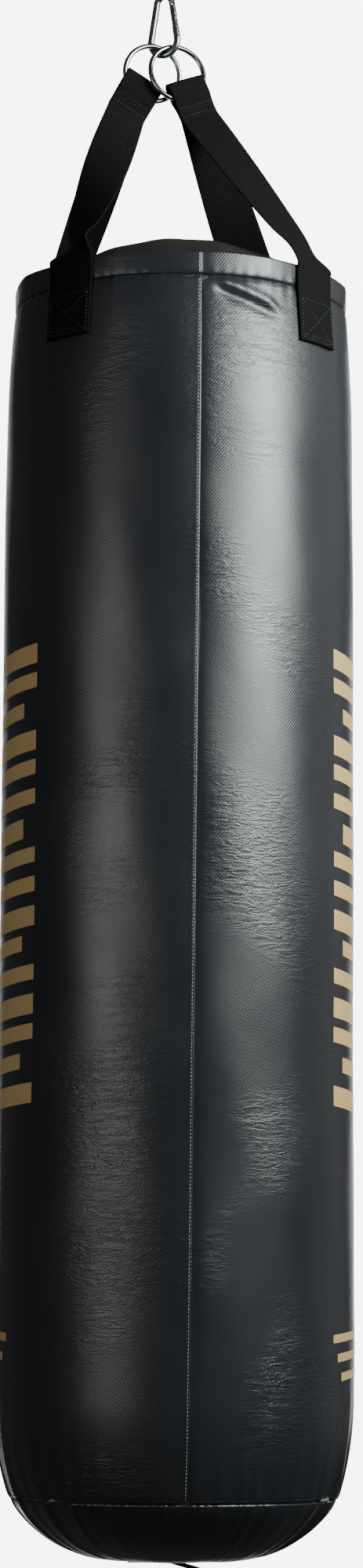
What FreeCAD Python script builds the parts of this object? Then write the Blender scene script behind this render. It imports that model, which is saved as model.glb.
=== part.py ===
import FreeCAD, Part
import Sketcher
import math
import os
from FreeCAD import Placement, Rotation, Vector

# A hanging punching bag: snap hook, two rings, two webbing slings and a filled round bag.
# The origin is the inside top of the hook, where the hook rests on whatever holds it. +Z is up.
# "Bag height" below is measured from the stitch line of the hem, upwards.

doc = FreeCAD.newDocument("punching_bag")
sizes = doc.addObject("Spreadsheet::Sheet", "Sizes")

DRIVING_SIZES = (
    ("hook_wire", 7.0, "diameter of the snap hook's wire"),
    ("hook_length", 70.0, "overall length of the snap hook"),
    ("hook_top_radius", 8.6, "centre line radius of the hook's narrow end"),
    ("hook_bend_radius", 15.0, "centre line radius of the hook's wide end"),
    ("hook_turn", -26.7, "turn of the hook's plane about Z, degrees"),
    ("gate_diameter", 6.4, "diameter of the gate"),
    ("gate_pivot_drop", 3.5, "from the start of the straight side down to the gate's pivot"),
    ("gate_length", 23.0, "from the gate's pivot to its nose end"),
    ("gate_end_gap", 0.7, "gap between the gate's end and the hook's nose"),
    ("tongue_thickness", 3.0, "flat tongues of the hook that the gate's forks straddle"),
    ("fork_clearance", 0.2, "play on each side of a tongue in its fork"),
    ("rivet_diameter", 2.4, "gate rivet and latch pin"),
    ("rivet_clearance", 0.05, "radial play of the gate on its rivet"),
    ("notch_play", 0.35, "room round the latch pin in the hook's notch"),
    ("spring_bore", 3.2, "bore in the gate for its spring and plunger"),
    ("ring_radius", 29.0, "centre line radius of both rings"),
    ("ring_wire", 5.2, "diameter of the rings' wire"),
    ("webbing_width", 55.0, "width of the webbing"),
    ("webbing_thickness", 2.4, "thickness of one ply of webbing"),
    ("webbing_chord", 42.0, "width of the webbing where it is cupped round a ring"),
    ("eye_shift", 3.0, "from the middle of a ring outwards to the middle of its eye"),
    ("eye_play", 0.5, "room between a ring and the eye sewn round it"),
    ("eye_taper", 9.0, "length over which an eye's two plies come together"),
    ("eye_seam", 6.0, "length of an eye's two plies sewn together"),
    ("swing_gap", 3.6, "gap between a sewn eye and its legs, for the fore and aft swing"),
    ("ply_gap", 0.4, "gap between neighbouring pieces of webbing, and under them"),
    ("leg_end_drop", 55.0, "from the hem stitch line down to the sewn ends of the legs"),
    ("bag_offset", 18.5, "X of the bag's axis"),
    ("hem_drop", 336.5, "from the hook's seat down to the hem stitch line"),
    ("wall_radius", 175.0, "outside radius of the bag below the shoulder"),
    ("hem_inset", 6.7, "how much smaller the radius is at the hem"),
    ("belly_bulge", 1.7, "how much larger the radius is just above the bottom"),
    ("seam_inset", 14.0, "how much smaller the radius is at the bottom seam"),
    ("shoulder_drop", 160.0, "from the hem down to the full radius"),
    ("wall_height", 1182.0, "from the hem down to the bottom seam"),
    ("turn_in_height", 92.0, "height over which the wall turns in to the bottom seam"),
    ("dish_depth", 59.0, "from the bottom seam down to the flat of the bottom"),
    ("dish_flat_radius", 60.0, "radius of the flat of the bottom"),
    ("skin_thickness", 1.6, "thickness of the synthetic leather"),
    ("front_seam_angle", 5.0, "angle of the front seam from the front, towards +X"),
    ("hem_height", 25.0, "height of the folded hem band"),
    ("hem_thickness", 4.0, "thickness of the folded hem band"),
    ("dome_rise", 73.0, "bag height of the top cover's crown"),
    ("dome_edge", 4.0, "bag height of the top cover's sewn edge"),
    ("lining_gap", 1.6, "room inside the wall for tapes and patches"),
    ("lining_thickness", 12.0, "thickness of the padding inside the wall"),
    ("tape_width", 26.0, "width of the tapes behind the wall's seams"),
    ("tape_thickness", 1.1, "thickness of seam tapes and patches"),
    ("sack_thickness", 1.0, "thickness of the inner sack"),
    ("layer_gap", 0.2, "gap between neighbouring layers"),
    ("fill_drop", 30.0, "from the hem down to the top of the filling"),
    ("pad_thickness", 20.0, "thickness of the pad over the filling"),
    ("sand_radius", 50.0, "radius of a sand bag"),
    ("sand_offset", -76.5, "X of the sand bags from the bag's axis"),
    ("zip_slot", 6.0, "width of the slot between the halves of the top cover"),
    ("zip_tape_width", 13.0, "width of each zip tape"),
    ("zip_tape_thickness", 0.9, "thickness of a zip tape"),
    ("zip_half_length", 118.0, "half of the zip's length, measured along X"),
    ("slider_length", 12.0, "length of the zip's slider"),
    ("slider_width", 10.0, "width of the zip's slider"),
    ("slider_inset", 18.0, "from the zip's end back to the middle of its closed slider"),
    ("pull_length", 24.0, "length of the zip's pull"),
    ("loop_length", 34.0, "free length of the bottom loop"),
    ("loop_width", 30.0, "width of the bottom loop"),
    ("loop_thickness", 2.8, "thickness of the bottom loop's folded webbing"),
    ("loop_dip", 15.0, "angle of the bottom loop below level, degrees"),
)

# Sizes that follow from the driving ones, as expressions.
FOLLOWING_SIZES = {
    "hem_radius": "(wall_radius - hem_inset)",
    "belly_radius": "(wall_radius + belly_bulge)",
    "seam_radius": "(wall_radius - seam_inset)",
    "belly_drop": "(wall_height - turn_in_height)",
    "sand_height": "(0.178 * wall_height)",
    "sand_drop": "(0.355 * wall_height)",
    "slider_position": "(zip_half_length - slider_inset)",
}

# Each leg of webbing: name, ring, ply (-1 front, +1 back), angle of its sewn end from the front
# towards +X, and how far its free part twists beyond that angle just above the hem, in degrees.
LEGS = (
    ("front_left_leg", "left", -1, -40.0, -18.0),
    ("back_left_leg", "left", 1, 232.0, 12.0),
    ("front_right_leg", "right", -1, 52.0, -10.0),
    ("back_right_leg", "right", 1, 147.0, 6.0),
)

# Each ring: the way from the hook's lowest point to its centre, its turn about Z, its lean back,
# the tilt of its sling, and its side of the hook.
RINGS = {
    "left": (Vector(-0.520, -0.026, -0.869), 17.4, -1.0, 28.8, -1),
    "right": (Vector(0.594, -0.070, -0.860), 20.8, 7.0, -22.7, 1),
}

for row, (alias, number, meaning) in enumerate(DRIVING_SIZES, start=1):
    sizes.set("A%d" % row, meaning)
    sizes.set("B%d" % row, str(number))
    sizes.setAlias("B%d" % row, alias)
doc.recompute()

parts = []  # the finished objects, one for each node


def spelled(text, prefix):
    """The expression with its following sizes written out, and a prefix before each size."""
    words = []
    word = ""
    for letter in text + " ":
        if letter.isalnum() or letter in "_.":
            word += letter
            continue
        if word in FOLLOWING_SIZES:
            word = spelled(FOLLOWING_SIZES[word], prefix)
        elif word[:1].isalpha() and letter != "(" and word != "pi":
            word = prefix + word
        words.append(word + letter)
        word = ""
    return "".join(words).strip()


def size(text):
    """The number that an expression in the sizes has now."""
    return float(sizes.evalExpression(spelled(text, "")))


def named(text):
    """The expression as an object outside the sheet has to write it."""
    return spelled(text, "Sizes.")


def bind(thing, prop, text):
    thing.setExpression(prop, named(text))


def keep(thing, label):
    """Marks a finished object as the node with this name."""
    thing.Label = label
    parts.append(thing)
    return thing


def plane_of(body, role):
    return [p for p in body.Origin.OriginFeatures if p.Role == role][0]


def new_sketch(body, role, name):
    sketch = body.newObject("Sketcher::SketchObject", name)
    sketch.AttachmentSupport = [(plane_of(body, role), "")]
    sketch.MapMode = "FlatFace"
    return sketch


def pin_point(sketch, edge, end, x_text, y_text):
    """Ties one end of an edge to two expressions, measured from the sketch's origin."""
    for kind, text in (("DistanceX", x_text), ("DistanceY", y_text)):
        row = sketch.addConstraint(Sketcher.Constraint(kind, -1, 1, edge, end, size(text)))
        sketch.setExpression("Constraints[%d]" % row, named(text))


def draw_outline(sketch, corners):
    """Draws a closed outline through corners (x, y) or (x, y, radius), all expressions.

    A radius makes the edge that arrives at its corner an arc, which bulges to the left of the way
    from corner to corner where the radius is written with a leading "+", and to the right with "-".
    """
    first = sketch.GeometryCount
    count = len(corners)
    points = [Vector(size(c[0]), size(c[1]), 0) for c in corners]
    for i, corner in enumerate(corners):
        start = points[i - 1]
        end = points[i]
        if len(corner) == 2:
            sketch.addGeometry(Part.LineSegment(start, end), False)
            continue
        radius = size(corner[2][1:])
        chord = end - start
        left = Vector(-chord.y, chord.x, 0).normalize()
        sagitta = radius - math.sqrt(max(radius ** 2 - (chord.Length / 2) ** 2, 0.0))
        side = 1 if corner[2][0] == "+" else -1
        middle = (start + end) * 0.5 + left * (side * sagitta)
        sketch.addGeometry(Part.Arc(start, middle, end), False)
    for i in range(count):
        edge = first + i
        after = first + (i + 1) % count
        ends = []
        for geometry in (edge, after):
            near = sketch.getPoint(geometry, 1).distanceToPoint(points[i])
            far = sketch.getPoint(geometry, 2).distanceToPoint(points[i])
            ends.append(1 if near < far else 2)
        sketch.addConstraint(Sketcher.Constraint("Coincident", edge, ends[0], after, ends[1]))
        pin_point(sketch, edge, ends[0], corners[i][0], corners[i][1])
        if len(corners[i]) == 3:
            text = corners[i][2][1:]
            row = sketch.addConstraint(Sketcher.Constraint("Radius", edge, size(text)))
            sketch.setExpression("Constraints[%d]" % row, named(text))


def draw_circle(sketch, x_text, y_text, radius_text):
    centre = Vector(size(x_text), size(y_text), 0)
    edge = sketch.addGeometry(Part.Circle(centre, Vector(0, 0, 1), size(radius_text)), False)
    pin_point(sketch, edge, 3, x_text, y_text)
    row = sketch.addConstraint(Sketcher.Constraint("Radius", edge, size(radius_text)))
    sketch.setExpression("Constraints[%d]" % row, named(radius_text))


def turned_body(label, corners, angle=360.0):
    """A body turned about its own Z axis from an outline of (radius, height) corners."""
    body = doc.addObject("PartDesign::Body", label)
    sketch = new_sketch(body, "XZ_Plane", label + "_outline")
    draw_outline(sketch, corners)
    doc.recompute()
    turn = body.newObject("PartDesign::Revolution", label + "_turn")
    turn.Profile = sketch
    turn.ReferenceAxis = (sketch, ["V_Axis"])
    turn.Angle = angle
    body.Tip = turn
    return keep(body, label)


def padded_body(label, role, outlines, thickness):
    """A body padded both ways from one of its own planes."""
    body = doc.addObject("PartDesign::Body", label)
    sketch = new_sketch(body, role, label + "_outline")
    for corners in outlines:
        draw_outline(sketch, corners)
    doc.recompute()
    pad = body.newObject("PartDesign::Pad", label + "_pad")
    pad.Profile = sketch
    pad.Midplane = True
    bind(pad, "Length", thickness)
    body.Tip = pad
    return keep(body, label)


def pocket(body, role, name, corners, thickness=None):
    """Cuts an outline both ways out of a body, right through it where no thickness is given."""
    sketch = new_sketch(body, role, name + "_outline")
    if len(corners) == 1:
        draw_circle(sketch, *corners[0])
    else:
        draw_outline(sketch, corners)
    doc.recompute()
    cut = body.newObject("PartDesign::Pocket", name)
    cut.Profile = sketch
    cut.Midplane = True
    if thickness is None:
        cut.Type = "ThroughAll"
    else:
        bind(cut, "Length", thickness)
    body.Tip = cut
    doc.recompute()


def on_bag_axis(thing, angle_text=None):
    """Puts a piece on the bag's axis with its zero height at the hem stitch line."""
    bind(thing, "Placement.Base.x", "bag_offset")
    bind(thing, "Placement.Base.z", "-hem_drop")
    if angle_text is not None:
        bind(thing, "Placement.Rotation.Angle", angle_text)
    return thing


def shape_node(label, shape):
    """A node whose shape comes from Part's own functions."""
    thing = doc.addObject("Part::Feature", label)
    thing.Shape = shape
    return keep(thing, label)


# ---------------------------------------------------------------- snap hook

TOP_CENTRE = size("hook_wire / 2 - hook_top_radius")
BEND_CENTRE = size("1.5 * hook_wire - hook_length + hook_bend_radius")
SIDE_LEAN = math.asin(size("hook_bend_radius - hook_top_radius") / (TOP_CENTRE - BEND_CENTRE))
HOOK_TURN = Rotation(Vector(0, 0, 1), size("hook_turn"))
ACROSS_GATE = Rotation(Vector(1, 0, 0), 90)


def on_hook(x, z):
    """A point of the hook's own plane."""
    return Vector(x, 0, z)


def gate_placement():
    """The gate's frame: origin at its pivot, -Z along the gate, +X out of the hook."""
    outward = Vector(math.cos(SIDE_LEAN), 0, math.sin(SIDE_LEAN))
    start = on_hook(0, TOP_CENTRE) + outward * size("hook_top_radius")
    down = Vector(math.sin(SIDE_LEAN), 0, -math.cos(SIDE_LEAN))
    pivot = start + down * size("gate_pivot_drop")
    lean = Rotation(Vector(0, 1, 0), -math.degrees(SIDE_LEAN))
    return Placement(HOOK_TURN.multVec(pivot), HOOK_TURN.multiply(lean))


def make_hook_body():
    """The bent wire, from the tongue at the gate's pivot round to the tongue at its nose."""
    radius = size("hook_wire / 2")
    top = size("hook_top_radius")
    bend = size("hook_bend_radius")
    outward = Vector(math.cos(SIDE_LEAN), 0, math.sin(SIDE_LEAN))
    inward = Vector(-outward.x, 0, outward.z)
    top_centre = on_hook(0, TOP_CENTRE)
    bend_centre = on_hook(0, BEND_CENTRE)
    right_top = top_centre + outward * top
    left_top = top_centre + inward * top
    left_bend = bend_centre + inward * bend
    right_bend = bend_centre + outward * bend
    down = (right_bend - right_top).normalize()
    pivot = right_top + down * size("gate_pivot_drop")
    nose = pivot + down * size("gate_length + gate_end_gap")
    wire_start = pivot - down * size("gate_diameter / 2 + gate_end_gap")
    edges = []
    if wire_start.distanceToPoint(right_top) > 0.01 and (wire_start - right_top).dot(down) > 0:
        edges.append(Part.LineSegment(wire_start, right_top).toShape())
    edges.append(Part.Arc(right_top, on_hook(0, TOP_CENTRE + top), left_top).toShape())
    edges.append(Part.LineSegment(left_top, left_bend).toShape())
    edges.append(Part.Arc(left_bend, on_hook(0, BEND_CENTRE - bend), right_bend).toShape())
    edges.append(Part.LineSegment(right_bend, nose).toShape())
    path = Part.Wire(edges)
    first = edges[0]
    start = first.valueAt(first.FirstParameter)
    along = first.tangentAt(first.FirstParameter)
    ring = Part.Wire([Part.makeCircle(radius, start, along)])
    wire = path.makePipeShell([ring], True, False)
    # The tongues, drawn in the gate's frame: a rounded one at the pivot, a notched one at the nose.
    half = size("tongue_thickness / 2")
    eye = size("gate_diameter / 2") - 0.4
    gate_length = size("gate_length")
    gap = size("gate_end_gap")
    across = Vector(0, -1, 0)
    root = size("gate_diameter / 2") + gap + 1.5
    pivot_tongue = Part.makeCylinder(eye, 2 * half, Vector(0, half, 0), across)
    pivot_tongue = pivot_tongue.fuse(Part.makeBox(2 * eye, 2 * half, root, Vector(-eye, -half, 0)))
    rivet_hole = Part.makeCylinder(size("rivet_diameter / 2"), 2 * half + 1, Vector(0, half + 0.5, 0), across)
    pivot_tongue = pivot_tongue.cut(rivet_hole)
    nose_height = size("rivet_diameter") + 3.2
    low = -gate_length - gap - 1.5
    nose_tongue = Part.makeBox(2 * eye, 2 * half, nose_height + gap + 1.5, Vector(-eye, -half, low))
    latch = latch_centre()
    notch_radius = size("rivet_diameter / 2 + notch_play")
    notch = Part.makeCylinder(notch_radius, 2 * half + 1, latch + Vector(0, half + 0.5, 0), across)
    slot = Part.makeBox(eye + latch.x + 1, 2 * half + 1, 2 * notch_radius,
                        Vector(-eye - 1, -half - 0.5, latch.z - notch_radius))
    nose_tongue = nose_tongue.cut(notch.fuse(slot))
    local = gate_placement()
    flat = Placement(HOOK_TURN.inverted().multVec(local.Base), HOOK_TURN.inverted().multiply(local.Rotation))
    for tongue in (pivot_tongue, nose_tongue):
        tongue.Placement = flat
        wire = wire.fuse(tongue)
    wire = wire.removeSplitter()
    node = shape_node("hook_body", wire)
    node.Placement = Placement(Vector(0, 0, 0), HOOK_TURN)
    return node


def latch_centre():
    """The latch pin's centre in the gate's frame, a little inside the gate's own axis."""
    return Vector(-size("gate_diameter") / 5, 0, -size("gate_length") + size("rivet_diameter") + 0.6)


def make_gate():
    """The gate: a round bar with a domed top, a fork at each end and a bore for its spring."""
    gate = turned_body("hook_gate", (
        ("0", "gate_diameter / 2"),
        ("gate_diameter / 2", "0", "+gate_diameter / 2"),
        ("gate_diameter / 2", "0.5 - gate_length"),
        ("gate_diameter / 2 - 0.5", "-gate_length"),
        ("0", "-gate_length"),
    ))
    fork = "tongue_thickness + 2 * fork_clearance"
    wide = "gate_diameter"
    pocket(gate, "XZ_Plane", "pivot_fork", (
        ("-" + wide, "-gate_diameter / 2 - 0.2"),
        (wide, "-gate_diameter / 2 - 0.2"),
        (wide, wide),
        ("-" + wide, wide),
    ), fork)
    pocket(gate, "XZ_Plane", "nose_fork", (
        ("-" + wide, "-gate_length - 1"),
        (wide, "-gate_length - 1"),
        (wide, "rivet_diameter + 3.6 - gate_length"),
        ("-" + wide, "rivet_diameter + 3.6 - gate_length"),
    ), fork)
    pocket(gate, "XZ_Plane", "rivet_bore", (("0", "0", "rivet_diameter / 2 + rivet_clearance"),))
    pocket(gate, "XZ_Plane", "latch_bore", (
        ("-gate_diameter / 5", "rivet_diameter + 0.6 - gate_length", "rivet_diameter / 2"),
    ))
    bore = doc.addObject("Part::Cylinder", "spring_bore_tool")
    bind(bore, "Radius", "spring_bore / 2")
    bind(bore, "Height", "12")
    bind(bore, "Placement.Base.z", "-gate_diameter / 2 - 12.1")
    drilled = doc.addObject("Part::Cut", "hook_gate_drilled")
    drilled.Base = gate
    drilled.Tool = bore
    parts.remove(gate)
    gate.Label = "hook_gate_blank"
    keep(drilled, "hook_gate")
    drilled.Placement = gate_placement()


def make_pin(label, length_text):
    """A round pin across the gate, drawn along Z from its middle."""
    pin = doc.addObject("Part::Cylinder", label)
    bind(pin, "Radius", "rivet_diameter / 2")
    bind(pin, "Height", length_text)
    bind(pin, "Placement.Base.z", "-(%s) / 2" % length_text)
    return pin


def make_gate_rivet():
    """The gate's rivet, with a low head at each end, through the pivot tongue."""
    length = "gate_diameter + 2"
    pieces = [make_pin("gate_rivet_shank", length)]
    for side in (-1, 1):
        head = doc.addObject("Part::Cone", "gate_rivet_head")
        bind(head, "Radius1", "rivet_diameter * 0.85")
        bind(head, "Radius2", "rivet_diameter * 0.5")
        bind(head, "Height", "0.8")
        tilt = Rotation(Vector(1, 0, 0), 0 if side > 0 else 180)
        head.Placement = Placement(Vector(0, 0, side * (size(length) / 2 - 0.8)), tilt)
        pieces.append(head)
    rivet = doc.addObject("Part::MultiFuse", "gate_rivet")
    rivet.Shapes = pieces
    keep(rivet, "gate_rivet")
    rivet.Placement = gate_placement().multiply(Placement(Vector(0, 0, 0), ACROSS_GATE))


def make_latch_pin():
    """The pin across the gate's nose fork that rests in the notch of the nose tongue."""
    core = doc.addObject("Part::Cylinder", "gate_latch_pin")
    pin_length = "gate_diameter - 1.4"
    bind(core, "Radius", "rivet_diameter / 2")
    bind(core, "Height", pin_length)
    keep(core, "gate_latch_pin")
    middle = latch_centre() + Vector(0, size(pin_length) / 2, 0)
    core.Placement = gate_placement().multiply(Placement(middle, ACROSS_GATE))


def make_gate_spring():
    """The spring and the plunger that it presses against the tongue at the pivot."""
    top = -size("gate_diameter / 2") - 0.3
    plunger = Part.makeCylinder(size("spring_bore / 2") - 0.1, 3.5, Vector(0, 0, top - 3.5))
    node = shape_node("gate_plunger", plunger)
    node.Placement = gate_placement()
    wire = 0.25
    coil_radius = size("spring_bore / 2") - 0.2 - wire
    bottom = -size("gate_diameter / 2") - 12.0 + wire
    height = top - 3.6 - wire - bottom
    helix = Part.makeHelix(1.1, height, coil_radius)
    section = Part.Wire([Part.makeCircle(wire, Vector(coil_radius, 0, 0), Vector(0, 1, 0))])
    spring = Part.Wire(helix).makePipeShell([section], True, True)
    node = shape_node("gate_spring", spring)
    node.Placement = gate_placement().multiply(Placement(Vector(0, 0, bottom), Rotation()))


make_hook_body()
make_gate()
make_gate_rivet()
make_latch_pin()
make_gate_spring()


# ---------------------------------------------------------------- rings and sewn eyes

def ring_frame(side):
    """A ring's frame: +Z along its axis, +X along the fold of its sling, -Y down its sling."""
    hang, turn, lean, tilt, way = RINGS[side]
    lowest = Vector(0, 0, size("hook_wire - hook_length + hook_wire / 2"))
    centre = lowest + hang * size("ring_radius - (hook_wire + ring_wire) / 2")
    upright = Rotation(Vector(1, 0, 0), 90 - lean)
    facing = Rotation(Vector(0, 0, 1), turn).multiply(upright)
    return Placement(centre, facing.multiply(Rotation(Vector(0, 0, 1), -tilt)))


def eye_levels():
    """An eye's inside half thickness, then levels down the sling from the ring's centre.

    The levels are the fold's middle, the ring's lowest centre line, the joint of the two plies
    and the end of the eye.
    """
    inner = "(ring_wire / 2 + eye_play)"
    crossing = "sqrt((ring_radius - ring_wire / 2) ^ 2 - (webbing_chord / 2 + eye_shift) ^ 2)"
    fold = "(%s - eye_play + %s)" % (crossing, inner)
    bottom = "(ring_radius)"
    joined = "(ring_radius + ring_wire / 2 + eye_play + eye_taper)"
    end = "(%s + eye_seam)" % joined
    return inner, fold, bottom, joined, end


def eye_face(half, tail, edge):
    """A loop of webbing seen along its fold: a round top of this half thickness, then its tail."""
    inner, fold, bottom, joined, end = [size(text) for text in eye_levels()]
    start = Vector(edge, -fold, half)
    finish = Vector(edge, -fold, -half)
    lines = [Part.Arc(start, Vector(edge, half - fold, 0), finish).toShape()]
    corners = [finish, Vector(edge, -bottom, -half)]
    corners += [Vector(edge, y, z) for y, z in tail]
    corners += [Vector(edge, -bottom, half), start]
    lines += [Part.LineSegment(a, b).toShape() for a, b in zip(corners, corners[1:])]
    return Part.Face(Part.Wire(lines))


def make_eye(side):
    """Webbing folded round a ring and sewn to itself: a loop that closes to two plies."""
    inner, fold, bottom, joined, end = [size(text) for text in eye_levels()]
    thick = size("webbing_thickness")
    along = Vector(size("webbing_chord"), 0, 0)
    edge = size("eye_shift") * RINGS[side][4] - size("webbing_chord") / 2
    plies = ((-joined, -thick), (-end, -thick), (-end, thick), (-joined, thick))
    block = eye_face(inner + thick, plies, edge).extrude(along)
    hollow = eye_face(inner, ((1.0 - joined, 0.0),), edge).extrude(along)
    node = shape_node(side + "_sling_eye", block.cut(hollow))
    node.Placement = ring_frame(side)


def make_ring(side):
    ring = doc.addObject("Part::Torus", side + "_ring")
    bind(ring, "Radius1", "ring_radius")
    bind(ring, "Radius2", "ring_wire / 2")
    keep(ring, side + "_ring")
    ring.Placement = ring_frame(side)


for side in RINGS:
    make_ring(side)
    make_eye(side)


# ---------------------------------------------------------------- webbing legs

def wall_radius_at(drop):
    """The wall's outside radius this far below the hem: a round shoulder, then a slow taper."""
    if drop <= 0:
        return size("hem_radius")
    shoulder = size("shoulder_drop")
    if drop < shoulder:
        rise = size("wall_radius - hem_radius")
        radius = (shoulder ** 2 + rise ** 2) / (2 * rise)
        return size("wall_radius") - radius + math.sqrt(radius ** 2 - (shoulder - drop) ** 2)
    share = (drop - shoulder) / size("belly_drop - shoulder_drop")
    return size("wall_radius") + share * size("belly_radius - wall_radius")


def band_section(centre, across, outward, width, thickness, bow):
    """One cross-section of a band: a thin curved rectangle, bowed outwards by the given amount."""
    across = Vector(across).normalize()
    outward = Vector(outward).normalize()
    half = across * (width / 2)
    edges = []
    inner = outward * (-thickness / 2)
    outer = outward * (thickness / 2)
    crown = outward * bow
    inside = Part.Arc(centre - half + inner, centre + inner + crown, centre + half + inner).toShape()
    outside = Part.Arc(centre + half + outer, centre + outer + crown, centre - half + outer).toShape()
    edges.append(inside)
    edges.append(Part.LineSegment(centre + half + inner, centre + half + outer).toShape())
    edges.append(outside)
    edges.append(Part.LineSegment(centre - half + outer, centre - half + inner).toShape())
    return Part.Wire(edges)


def leg_stations(side, ply, angle, twist):
    """Places down a leg, each as centre, direction across, direction out, width and bow."""
    frame = ring_frame(side)
    thick = size("webbing_thickness")
    start_level = size(eye_levels()[4]) + size("swing_gap")
    shift = size("eye_shift") * RINGS[side][4]
    start = frame.multVec(Vector(shift, -start_level, -ply * (thick / 2 + size("ply_gap") / 2)))
    across = frame.Rotation.multVec(Vector(1, 0, 0))
    facing = frame.Rotation.multVec(Vector(0, 0, -ply))
    turn = math.radians(angle)
    outward = Vector(math.sin(turn), -math.cos(turn), 0)
    tangent = Vector(math.cos(turn), math.sin(turn), 0)
    if tangent.dot(across) < 0:
        tangent = tangent * -1
    axis = Vector(size("bag_offset"), 0, -size("hem_drop"))
    stand = size("ply_gap") + thick / 2
    width = size("webbing_width")
    chord = size("webbing_chord")

    def on_wall(drop):
        radius = wall_radius_at(drop)
        bow = radius - math.sqrt(radius ** 2 - (width / 2) ** 2)
        centre = axis + outward * (radius + stand - bow) - Vector(0, 0, drop)
        return centre, tangent, outward, width, bow

    rim = on_wall(-size("hem_height") - 1.0)
    rim_centre = rim[0] + outward * 0.6
    reach = rim_centre - start
    skew = Rotation(Vector(0, 0, 1), twist)
    stations = []
    for share, bow_share in ((0.0, 0.0), (0.3, 0.02), (0.6, 0.05)):
        place = start + reach * share
        direction = across * (1 - share) + skew.multVec(tangent) * share
        out = facing * (1 - share) + skew.multVec(outward) * share
        wide = chord + (width - chord) * min(1.0, share / 0.5)
        stations.append((place, direction, out, wide, 0.3 + rim[4] * bow_share))
    near = 0.9
    place = start + reach * near
    stations.append((place, skew.multVec(tangent), skew.multVec(outward) + Vector(0, 0, 0.35), width, 0.6))
    stations.append((rim_centre, tangent, outward, width, rim[4]))
    for drop in (-0.5 * size("hem_height"), 0.0, 0.5 * size("leg_end_drop"), size("leg_end_drop")):
        stations.append(on_wall(drop))
    return stations


def make_leg(label, side, ply, angle, twist):
    thick = size("webbing_thickness")
    wires = []
    for centre, across, out, width, bow in leg_stations(side, ply, angle, twist):
        across = Vector(across).normalize()
        square_out = out - across * out.dot(across)
        wires.append(band_section(centre, across, square_out, width, thick, bow))
    return shape_node(label, Part.makeLoft(wires, True, True))


for leg in LEGS:
    make_leg(*leg)


# ---------------------------------------------------------------- bag wall

def arc_radius(run, rise):
    """The radius of an arc that starts level and rises by rise over run, as an expression."""
    return "(((%s) ^ 2 + (%s) ^ 2) / (2 * (%s)))" % (run, rise, rise)


SHOULDER_ARC = arc_radius("shoulder_drop", "wall_radius - hem_radius")
TURN_IN_ARC = arc_radius("wall_height - belly_drop", "belly_radius - seam_radius")


def wall_outline(outer_inset, inner_inset, top):
    """The wall's outline between two insets from its outside, from a bag height to its foot."""
    shoulder = SHOULDER_ARC
    turn_in = TURN_IN_ARC
    foot = "-wall_height"
    return (
        ("hem_radius - " + inner_inset, top),
        ("hem_radius - " + outer_inset, top),
        ("wall_radius - " + outer_inset, "-shoulder_drop", "+%s" % shoulder),
        ("belly_radius - " + outer_inset, "-belly_drop"),
        ("seam_radius - " + outer_inset, foot, "+%s" % turn_in),
        ("seam_radius - " + inner_inset, foot),
        ("belly_radius - " + inner_inset, "-belly_drop", "-%s" % turn_in),
        ("wall_radius - " + inner_inset, "-shoulder_drop"),
        ("hem_radius - " + inner_inset, top, "-%s" % shoulder),
    )


def closed(outline):
    """Drops the first corner where the last one repeats it, so that its arc is kept."""
    return outline[1:] if outline[0][:2] == outline[-1][:2] else outline


SKIN = "skin_thickness"
PADDING_OUT = "(skin_thickness + lining_gap)"
PADDING_IN = "(skin_thickness + lining_gap + lining_thickness)"
SACK_OUT = "(skin_thickness + lining_gap + lining_thickness + layer_gap)"
SACK_IN = "(skin_thickness + lining_gap + lining_thickness + layer_gap + sack_thickness)"
FILL_OUT = "(skin_thickness + lining_gap + lining_thickness + 2 * layer_gap + sack_thickness)"

left_panel = turned_body("left_wall_panel", closed(wall_outline("0", SKIN, "0")), 180.0)
on_bag_axis(left_panel, "front_seam_angle + 90")
right_panel = turned_body("right_wall_panel", closed(wall_outline("0", SKIN, "0")), 180.0)
on_bag_axis(right_panel, "front_seam_angle - 90")

hem = turned_body("hem_band", (
    ("hem_radius - hem_thickness", "layer_gap"),
    ("hem_radius", "layer_gap"),
    ("hem_radius", "hem_height - hem_thickness / 2"),
    ("hem_radius - hem_thickness / 2", "hem_height", "-hem_thickness / 2"),
    ("hem_radius - hem_thickness", "hem_height - hem_thickness / 2", "-hem_thickness / 2"),
))
on_bag_axis(hem)

padding = turned_body("wall_padding", closed(wall_outline(PADDING_OUT, PADDING_IN, "-layer_gap")))
on_bag_axis(padding)


def strip_turn(label, outline, width_text, radius_text, angle_text):
    """Part of a turned wall: a strip of the given width, centred on an angle from the front."""
    spread = size("%s / %s" % (width_text, radius_text)) * 180 / math.pi
    strip = turned_body(label, outline, spread)
    half = "90 / pi * %s / %s" % (width_text, radius_text)
    strip.Group[-1].setExpression("Angle", named("180 / pi * %s / %s" % (width_text, radius_text)))
    return on_bag_axis(strip, "%s - 90 - %s" % (angle_text, half))


TAPE_OUT = "(skin_thickness + layer_gap)"
TAPE_IN = "(skin_thickness + layer_gap + tape_thickness)"
for label, angle_text in (("front_seam_tape", "front_seam_angle"), ("back_seam_tape", "front_seam_angle + 180")):
    outline = closed(wall_outline(TAPE_OUT, TAPE_IN, "-1.5"))
    strip_turn(label, outline, "tape_width", "wall_radius", angle_text)


def wall_radius_text(drop_text):
    """The wall's outside radius in the shoulder, this far below the hem, as an expression."""
    radius = arc_radius("shoulder_drop", "wall_radius - hem_radius")
    reach = "sqrt(%s ^ 2 - (shoulder_drop - (%s)) ^ 2)" % (radius, drop_text)
    return "(wall_radius - %s + %s)" % (radius, reach)


for label, side, ply, angle, twist in LEGS:
    high = "tape_thickness * 4"
    low = "leg_end_drop + 12"
    outline = tuple(
        ("%s - %s" % (wall_radius_text(drop), inset), "-(%s)" % drop)
        for drop, inset in ((high, TAPE_IN), (high, TAPE_OUT), (low, TAPE_OUT), (low, TAPE_IN))
    )
    patch_label = label.replace("_leg", "_patch")
    strip_turn(patch_label, outline, "(webbing_width + 12)", "wall_radius", str(angle))

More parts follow.
